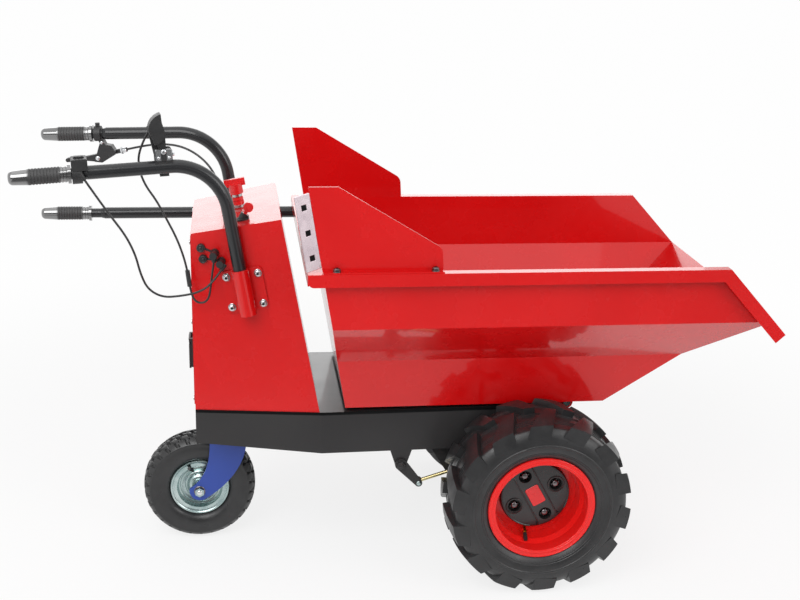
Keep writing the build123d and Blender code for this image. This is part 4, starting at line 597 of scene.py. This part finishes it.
def add_wheel_nuts(body, label):
    """Domed nuts, each in a well of the cover, in place of the plain bolts."""
    bolts = "lug_bolts_" + label
    well_floor = -8.0  # from the plain bolt's top
    wells = bmesh.new()
    nuts = bmesh.new()
    for middle, outward in bolt_heads(bolts):
        place = place_at(middle, outward, (1, 0.2, 0.3))
        levels = (well_floor - 1.0, well_floor, well_floor + 0.2)
        disc(wells, radius=13.8, bevel=0.6, levels=levels, place=place)
        hexagon(nuts, across=17, height=7.5, place=place, level=well_floor)
        dome(nuts, radius=7.8, height=5.0, place=place, level=-1.0)
    add_piece("wheel_bolt_wells_" + label, wells, cover_plastic, body)
    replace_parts(add_piece("wheel_nuts_" + label, nuts, steel, body), bolts)


def add_wheel_valve(side, body, label):
    foot = Vector((-16.0, -81.0, -9.0))
    tip = Vector((-21.5, -87.0, 28.0))
    place = wheel_place(side)
    stem = bmesh.new()
    tube(stem, between(foot, tip, 0, 0.5, 1), radius=3.6, place=place)
    tube(stem, between(foot, tip, 0.45, 0.6), radius=4.8, place=place, steps=6)
    add_piece("valve_" + label, stem, brass, body)
    cap = bmesh.new()
    tube(cap, between(foot, tip, 0.72, 1.22), radius=4.4, place=place)
    add_piece("valve_cap_" + label, cap, black_plastic, body)


def add_rim_rings(side, body, label):
    """Rolled edges of the rim's lip and barrel."""
    lip = bmesh.new()
    for radius, level in ((112.6, 67.2), (104.4, 67.2), (100.0, 52.0)):
        ring(lip, radius=radius, level=level, thickness=1.6, place=wheel_place(side))
    add_piece("rim_rings_" + label, lip, wheel_red, body)


def add_tyre_ribs(side, body, label):
    """Fine moulded lines between the lugs and on the tyre's outer wall."""
    crown, crown_drop, crown_half = 186, 4, 64
    rib_radius, rib_rise = 0.9, 0.2
    between_lugs = []
    for level in (-44, -37, -2, 5, 30, 37, 44):
        radius = crown - crown_drop * (level / crown_half) ** 2
        between_lugs.append((radius + rib_rise, level))
    ribs = bmesh.new()
    for radius, level in between_lugs + [(126, 72.8), (130, 74.6)]:
        ring(ribs, radius, level, rib_radius, wheel_place(side), steps=6)
    add_piece("tyre_ribs_" + label, ribs, tyre_rubber, body)


def add_wheel_trim(side, body):
    label = body.split("_")[1]
    add_hub_plate(side, body, label)
    add_cover_lines(side, body, label)
    add_wheel_nuts(body, label)
    add_wheel_valve(side, body, label)
    add_rim_rings(side, body, label)
    add_tyre_ribs(side, body, label)


# Caster wheel
caster_centre = (-420, 0, 125)
tread_blocks = 30  # round the tyre
tread_half = 34.2  # half of the tread's width
groove_depth = 5.5
tyre_wall = [
    (54.5, 21.5), (66.4, 21.8), (69.5, 28.5), (74, 32.2), (80, 35.2), (87, 36.6), (93.5, 37.0),
    (99, 36.7), (104, 35.8), (107, 36.0), (109, 36.2), (110.5, 35.2), (111.5, 34.6),
]  # radius and level, from the bead to the tread
dish_section = [
    (65.6, 25.2), (65.9, 26.6), (64.8, 27.9), (62.9, 28.2), (61.2, 27.4), (60.0, 25.9),
    (57.6, 25.3), (56.4, 24.0), (53.0, 22.8), (50.4, 19.6), (47.5, 13.6), (44.5, 12.4),
    (43.0, 13.4), (41.0, 13.6), (39.0, 12.4), (33.5, 11.2), (31.5, 12.6), (29.5, 13.0),
    (27.5, 12.2), (25.0, 15.0), (21.0, 18.0), (18.2, 18.4), (18.2, 7.0), (50.6, 7.0),
]  # radius and level of the pressed rim


def caster_place(side):
    """A place on the caster's axis, with Z to one side."""
    return place_at(caster_centre, (0, side, 0), (1, 0, 0))


def groove_at(turn, level):
    """How deep the caster tread's grooves are at a turn and a place across it."""
    zigzag_swing, zigzag_half, zigzag_slope = 3.6, 1.5, 0.9
    cross_reach, cross_half, cross_slope, cross_slant = 7.5, 0.11, 0.06, 60
    blocks_passed = turn * tread_blocks / (2 * math.pi)
    depth = 0.0
    for row, middle in enumerate((-22, -7.3, 7.3, 22)):
        phase = (blocks_passed + row / 2) % 1
        swing = zigzag_swing * (4 * abs(phase - 0.5) - 1)
        past_edge = max(0.0, abs(level - middle - swing) - zigzag_half)
        depth = max(depth, 1 - past_edge / zigzag_slope)
    for row, middle in enumerate((-30, -14.6, 0, 14.6, 30)):
        phase = (blocks_passed + (row + 1) / 2 + level / cross_slant) % 1
        if abs(level - middle) < cross_reach:
            past_edge = max(0.0, abs(phase - 0.5) - cross_half)
            depth = max(depth, 1 - past_edge / cross_slope)
    return groove_depth * max(0.0, depth)


def add_caster_tyre():
    """Tyre with a zigzag tread, a shoulder edge and rings on its smooth wall."""
    steps, tread_rows = 600, 56
    tread_radius, shoulder_drop, crown_power = 124.9, 12.9, 3.2
    turns = [2 * math.pi * step / steps for step in range(steps)]
    loops = [circle(radius, level, steps) for radius, level in tyre_wall]
    for row in range(tread_rows + 1):
        level = tread_half - 2 * tread_half * row / tread_rows
        radius = tread_radius - shoulder_drop * abs(level / tread_half) ** crown_power
        reaches = [(radius - groove_at(turn, level), turn) for turn in turns]
        loops.append([(reach * math.cos(turn), reach * math.sin(turn), level) for reach, turn in reaches])
    loops += [circle(radius, -level, steps) for radius, level in reversed(tyre_wall)]
    shape = bmesh.new()
    stacked(shape, loops + loops[:1], caster_place(1), capped=False)
    tyre = add_piece("caster_tread", shape, tyre_rubber, "caster_wheel", angle=50)
    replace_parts(tyre, "caster_tyre")


def add_caster_trim():
    """Pressed rim, washers, axle ends and valve of the caster."""
    for side, label in ((-1, "right"), (1, "left")):
        place = caster_place(side)
        dish = bmesh.new()
        turned(dish, dish_section, place, steps=96)
        add_piece("caster_dish_" + label, dish, zinc, "caster_wheel", angle=30)
        washer = bmesh.new()
        disc(washer, radius=12.5, bevel=0.8, levels=(47.0, 48.2, 48.8), place=place)
        add_piece("caster_washer_" + label, washer, steel, "caster_swivel")
        end = bmesh.new()
        dome(end, radius=6.0, height=2.4, place=place, level=56.0)
        add_piece("caster_axle_end_" + label, end, chrome, "caster_swivel")
    foot = Vector((-15.0, 33.0, 11.0))
    tip = Vector((-22.0, 48.0, 30.0))
    valve = bmesh.new()
    tube(valve, between(foot, tip, 0, 0.5, 1), radius=3.0, place=caster_place(-1))
    tube(valve, between(foot, tip, 0.7, 1.12), radius=3.8, place=caster_place(-1))
    add_piece("caster_valve", valve, black_plastic, "caster_wheel")


# Controls on the bars: the right bar's axis, and the same bar mirrored for the left
bar_knee = Vector((-362.0, -166.0, 900.0))
bar_tip = Vector((-746.0, -225.2, 883.0))
bar_run = (bar_tip - bar_knee).normalized()
bar_side = bar_run.cross(Vector((0, 0, 1))).normalized()
bar_up = bar_side.cross(bar_run)


def mirrored(vector):
    """The same direction or spot on the left side."""
    return Vector((vector.x, -vector.y, vector.z))


def add_throttle_trim():
    """Pivot head, cheek plate, screws and thumb ribs of the throttle."""
    throttle_reach = 282.0  # from the bar's tip
    clamp_rise = 25.0  # of the clamp's bolt above the bar's axis
    pivot = joint_spot("throttle_press")
    near_side = place_at(pivot, -bar_side, bar_up)
    head = bmesh.new()
    dome(head, radius=5.2, height=3.0, place=near_side, level=13.6)
    add_piece("throttle_pivot_head", head, chrome, "throttle_lever")

    foot = near_side @ Matrix.Translation((-6.5, 0, 11.0))
    cheek = bmesh.new()
    slab(cheek, width=23, height=32, bevel=1, corners=(4, 3.6), levels=(0, 0.8, 1.4), place=foot)
    add_piece("throttle_cheek", cheek, chrome, "chassis")
    stem = bmesh.new()
    slab(stem, width=23, height=11, bevel=1, corners=(2.5, 2), levels=(1.2, 2.2, 2.8), place=foot)
    add_piece("throttle_stem", stem, black_plastic, "chassis")

    screws = bmesh.new()
    for along in (-10.0, 10.0):
        place = near_side @ Matrix.Translation((-12.0, along, 0))
        dome(screws, radius=3.0, height=2.4, place=place, level=12.2)
    clamp_front = bar_tip - bar_run * throttle_reach + bar_up * clamp_rise
    hexagon(screws, across=8.0, height=5.0, place=place_at(clamp_front, -bar_run, bar_up), level=16.5)
    add_piece("throttle_screws", screws, chrome, "chassis")

    rib_run = [(3.6, 69.5), (15.5, 62.0), (22.6, 51.0), (24.6, 44.0), (20.6, 30.0)]  # along the bar, up
    ribs = bmesh.new()
    for side in (-10.5, -3.5, 3.5, 10.5):
        points = [(along, up, side) for along, up in rib_run]
        tube(ribs, points, radius=1.5, place=place_at(pivot, bar_side, bar_run), steps=8)
    add_piece("throttle_lever_ribs", ribs, black_plastic, "throttle_lever")


def add_brake_trim():
    """Pivot heads, cable adjuster and clamp screws of the brake, on the left bar."""
    clamp_reach = 125.5  # from the bar's tip
    clamp_drop = 19.0  # of the clamp's screws below the bar's axis
    left_side, left_run, left_tip = (mirrored(vector) for vector in (bar_side, bar_run, bar_tip))
    bolt = bmesh.new()
    for outward in (left_side, -left_side):
        dome(bolt, radius=5.4, height=3.2, place=place_at(joint_spot("brake_squeeze"), outward), level=10.0)
    add_piece("brake_pivot_heads", bolt, chrome, "brake_lever")

    cable_points = cable_routes["brake_cable"][2]
    cable_start, cable_next = (Vector(point) for point in cable_points[:2])
    place = place_at(cable_start, (cable_start - cable_next).normalized())
    adjuster_section = [
        (5.1, -1.0), (5.9, -0.2), (5.9, 3.4), (5.3, 4.0), (5.3, 5.0), (6.1, 5.6), (6.1, 8.0), (5.1, 8.6),
    ]
    adjuster = bmesh.new()
    turned(adjuster, adjuster_section, place, steps=32)
    hexagon(adjuster, across=13.5, height=4.0, place=place, level=8.8)
    add_piece("brake_adjuster", adjuster, chrome, "chassis")

    under_bar = left_tip - left_run * clamp_reach - bar_up * clamp_drop
    screws = bmesh.new()
    for outward in (left_side, -left_side):
        dome(screws, radius=4.0, height=3.0, place=place_at(under_bar, outward), level=10.4)
    add_piece("brake_clamp_screws", screws, chrome, "chassis")


# Box, linkage, bolts and hopper
def add_key_trim():
    """Zinc rings and a red collar on the isolator's stem, as sections of radius and level."""
    place = place_at(joint_spot("isolator_turn"), joints["isolator_turn"]["axis"])
    rings = bmesh.new()
    turned(rings, [(9.1, 24.2), (10.6, 24.8), (10.6, 29.8), (9.1, 30.6)], place, steps=40)
    turned(rings, [(12.1, 1.2), (13.8, 1.8), (13.8, 6.6), (12.1, 7.4)], place, steps=40)
    add_piece("isolator_rings", rings, zinc, "chassis")
    collar = bmesh.new()
    turned(collar, [(9.1, 16.1), (11.5, 16.7), (11.5, 23.2), (9.1, 24.0)], place, steps=40)
    add_piece("isolator_collar", collar, red_plastic, "chassis")


def add_linkage_trim():
    """Washer, nut and pin head on the brake crank's outer face."""
    crank_length = 61.0
    pivot = joint_spot("brake_crank_turn")
    outer = min(corner[1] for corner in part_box("brake_crank")) / mm
    place = place_at((pivot.x, outer, pivot.z), (0, -1, 0), (0.66, 0, -0.75))
    nut = bmesh.new()
    disc(nut, radius=10.5, bevel=0.7, levels=(-0.2, 1.2, 1.6), place=place)
    hexagon(nut, across=16, height=6.0, place=place, level=1.6)
    dome(nut, radius=5.0, height=2.4, place=place, level=7.6)
    add_piece("crank_nut", nut, black_paint, "brake_crank")
    pin = bmesh.new()
    dome(pin, radius=5.5, height=3.0, place=place @ Matrix.Translation((crank_length, 0, 0)))
    add_piece("crank_pin_head", pin, zinc, "brake_crank")


def add_washers(name, body, direction, finish, height, radius):
    """Washer, rounded top and a near-black hexagon of painted shade for the socket on each bolt head of a
    node that lies along a direction.
    """
    thickness, bevel_drop, aligned = 1.4, 0.4, 0.8
    washers = bmesh.new()
    sockets = bmesh.new()
    for middle, outward in bolt_heads(name):
        if abs(outward.dot(Vector(direction))) < aligned:
            continue
        place = place_at(middle, outward, (1, 0.3, 0.2))
        levels = (-height, thickness - height, thickness + bevel_drop - height)
        disc(washers, radius=radius, bevel=0.5, levels=levels, place=place)
        dome(washers, radius=6.2, height=2.6, place=place)
        # Near-black hexagon on top of the dome: painted shade of the socket's recess.
        hexagon(sockets, across=4.6, height=0.8, place=place, level=2.2)
    add_piece(name + "_washers", washers, finish, body)
    add_piece(name + "_sockets", sockets, painted_shade_black, body)


def add_cap_rings():
    """Moulded ring and button on each dust cap, whose widest face is the one against the box."""
    cap_height = 8.0
    rings = bmesh.new()
    for middle, inward in bolt_heads("dust_caps"):
        place = place_at(middle - inward * cap_height, -inward, (1, 0, 0))
        ring(rings, radius=6.2, level=0.2, thickness=1.2, place=place, points=36, steps=8)
        dome(rings, radius=3.4, height=1.8, place=place)
    add_piece("dust_cap_rings", rings, cover_plastic, "chassis")


def add_deck_gap_shade():
    """Near-black strip along both sides, painted shade of the gap between the tray and the deck."""
    sunk, proud = -1, 0.5  # from the deck's edge
    least_y = 140  # corners further out than this are on the left edge
    low, high = (corner[2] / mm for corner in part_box("deck_plate"))
    deck = nodes["deck_plate"].data
    corners = {tuple(round(part / mm, 1) for part in vertex.co) for vertex in deck.vertices}
    edge = sorted({(x, y) for x, y, z in corners if y > least_y})
    section = ((sunk, low), (proud, low), (proud, high), (sunk, high))
    shade_strip = bmesh.new()
    for side in (1, -1):
        loops = [[(x, side * (y + out), z) for out, z in section] for x, y in edge]
        stacked(shade_strip, loops, Matrix.Scale(mm, 4))
    add_piece("deck_gap_shade", shade_strip, painted_shade_black, "chassis")


def add_rack_hole_shade():
    """Thin near-black patches of painted shade inside the square holes of the rear bracket."""
    end_corners = 4  # of the plate, at each end
    hole_corners = 8
    sunk = 0.6  # share by which a shade patch is thinner than the plate
    sheet = nodes["rear_bracket"].data
    outward = max(sheet.polygons, key=lambda face: face.area).normal
    spots = sorted({tuple(vertex.co) for vertex in sheet.vertices}, key=lambda spot: spot[2])
    inner = spots[end_corners:-end_corners]
    shade_patches = bmesh.new()
    for first in range(0, len(inner), hole_corners):
        corners = [Vector(spot) for spot in inner[first : first + hole_corners]]
        middle = sum(corners, Vector()) / hole_corners
        thinned = [corner - outward * (corner - middle).dot(outward) * sunk for corner in corners]
        bmesh.ops.convex_hull(shade_patches, input=[shade_patches.verts.new(spot) for spot in thinned])
    add_piece("rack_hole_painted_shade", shade_patches, painted_shade_black, "hopper")


# Studio: white surroundings, a pale floor and large soft lamps
ambient_level = 0.5  # of the light that the surroundings give
front_level = 0.2  # of what lies behind the photographer, as glossy faces mirror it


def add_lamp(name, place, target, width, height, power, glossy_only=False):
    lamp = bpy.data.lights.new(name, "AREA")
    lamp.shape = "RECTANGLE"
    lamp.size = width
    lamp.size_y = height
    lamp.energy = power
    holder = bpy.data.objects.new(name, lamp)
    place = Vector(place)
    turn = (Vector(target) - place).to_track_quat("-Z", "Y").to_matrix().to_4x4()
    holder.matrix_world = Matrix.Translation(place) @ turn
    holder.visible_camera = False
    if glossy_only:
        holder.visible_diffuse = False
    bpy.context.scene.collection.objects.link(holder)


def combine(tree, operation, first, second=0.0):
    """Arithmetic on two sockets or numbers, by the name of the operation."""
    node = tree.nodes.new("ShaderNodeMath")
    node.operation = operation
    for socket, value in zip(node.inputs, (first, second)):
        if hasattr(value, "links"):
            tree.links.new(value, socket)
        else:
            socket.default_value = value
    return node.outputs[0]


def spread(tree, source, low, high, from_value=0.0, to_value=1.0):
    """A smooth step from one value to another, while a source goes from low to high."""
    node = tree.nodes.new("ShaderNodeMapRange")
    node.interpolation_type = "SMOOTHSTEP"
    values = {"From Min": low, "From Max": high, "To Min": from_value, "To Max": to_value}
    for name, value in values.items():
        node.inputs[name].default_value = value
    tree.links.new(source, node.inputs["Value"])
    return node.outputs["Result"]


def ray_is(tree, kind):
    return tree.nodes.new("ShaderNodeLightPath").outputs[f"Is {kind} Ray"]


def seen_directly(tree):
    """1 for rays that show the surroundings themselves: camera, mirror and glass rays."""
    mirror = combine(tree, "MAXIMUM", ray_is(tree, "Camera"), ray_is(tree, "Glossy"))
    return combine(tree, "MAXIMUM", mirror, ray_is(tree, "Transmission"))


def add_surroundings():
    """White all round and above, greyer behind the photographer where faces mirror it."""
    world = bpy.data.worlds.new("studio")
    bpy.context.scene.world = world
    world.use_nodes = True
    tree = world.node_tree
    background = tree.nodes["Background"]
    background.inputs["Color"].default_value = (1, 1, 1, 1)
    along = split(tree, coordinates(tree, "Generated"))
    beyond = spread(tree, along["Y"], -0.6, 0.0, from_value=front_level)
    above = spread(tree, along["Z"], 0.3, 0.7)
    aside = spread(tree, combine(tree, "ABSOLUTE", along["X"]), 0.5, 0.75)
    mirror_view = combine(tree, "MAXIMUM", combine(tree, "MAXIMUM", beyond, above), aside)
    shown = combine(tree, "MAXIMUM", mirror_view, ray_is(tree, "Camera"))
    strength = tree.nodes.new("ShaderNodeMix")
    strength.inputs["A"].default_value = ambient_level
    tree.links.new(seen_directly(tree), strength.inputs["Factor"])
    tree.links.new(shown, strength.inputs["B"])
    tree.links.new(strength.outputs["Result"], background.inputs["Strength"])


def add_floor():
    """A floor that takes soft shadows near the machine and fades to white around it."""
    reach = 60
    floor_mesh = bpy.data.meshes.new("floor")
    corners = [(-reach, -reach, 0), (reach, -reach, 0), (reach, reach, 0), (-reach, reach, 0)]
    floor_mesh.from_pydata(corners, [], [(0, 1, 2, 3)])
    floor = bpy.data.objects.new("floor", floor_mesh)
    bpy.context.scene.collection.objects.link(floor)
    material, tree, shader = new_material("floor")
    settle(shader, Base_Color=(0.9, 0.9, 0.9, 1), Roughness=0.9)

    spot = coordinates(tree, "Object")
    along = split(tree, spot)
    beyond = spread(tree, along["Y"], -1.3, -0.5, from_value=front_level)
    off_middle = combine(tree, "ABSOLUTE", combine(tree, "SUBTRACT", along["X"], 0.3))
    mirror_view = combine(tree, "MAXIMUM", beyond, spread(tree, off_middle, 1.2, 1.9))
    glow = tree.nodes.new("ShaderNodeEmission")
    shown = combine(tree, "MAXIMUM", mirror_view, ray_is(tree, "Camera"))
    tree.links.new(shown, glow.inputs["Strength"])

    distance = tree.nodes.new("ShaderNodeVectorMath")
    distance.operation = "LENGTH"
    tree.links.new(spot, distance.inputs[0])
    white_share = spread(tree, distance.outputs["Value"], 0.9, 2.4, from_value=0.80, to_value=0.98)
    mix = tree.nodes.new("ShaderNodeMixShader")
    tree.links.new(combine(tree, "MULTIPLY", seen_directly(tree), white_share), mix.inputs["Fac"])
    tree.links.new(shader.outputs["BSDF"], mix.inputs[1])
    tree.links.new(glow.outputs["Emission"], mix.inputs[2])
    tree.links.new(mix.outputs["Shader"], tree.nodes["Material Output"].inputs["Surface"])
    floor_mesh.materials.append(material)
    floor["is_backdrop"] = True


def add_studio():
    add_surroundings()
    add_floor()
    middle = (0, 0, 0.5)
    add_lamp("key", (-1.6, -2.6, 3.0), middle, width=2.6, height=2.6, power=88)
    add_lamp("fill", (2.6, -2.4, 2.0), middle, width=2.0, height=2.0, power=35)
    add_lamp("top", (0, 0.3, 3.4), middle, width=3.0, height=3.0, power=14)
    add_lamp("back", (-0.3, 4.6, 2.2), middle, width=6.0, height=2.2, power=60, glossy_only=True)
    bpy.context.scene.view_settings.view_transform = "Standard"


add_camera()
finish_nodes()
add_cables()
for sheet_part in ("hopper_shell", "box_casing"):
    soften(sheet_part, width=0.0025, segments=3)
for plate in ("wing_left", "wing_right", "rear_bracket", "handlebar_sockets", "rear_cover"):
    soften(plate, width=0.0008)
for hardware in ("fasteners", "wing_bolts", "caster_axle"):
    soften(hardware, width=0.0009)
for tyre in ("drive_tyre_left", "drive_tyre_right"):
    soften(tyre, width=0.002, angle=40)
add_wheel_trim(-1, "wheel_right")
add_wheel_trim(1, "wheel_left")
add_caster_tyre()
add_caster_trim()
add_throttle_trim()
add_brake_trim()
add_key_trim()
add_linkage_trim()
add_washers("fasteners", "chassis", (0, 1, 0), chrome, height=5.5, radius=8.2)
add_washers("wing_bolts", "hopper", (0, 0, 1), steel, height=5.5, radius=8.0)
add_cap_rings()
add_deck_gap_shade()
add_rack_hole_shade()
add_studio()

boxes = {"cad": cad_box, "visual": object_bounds()}
{name: [list(map(float, corner)) for corner in box] for name, box in boxes.items()}
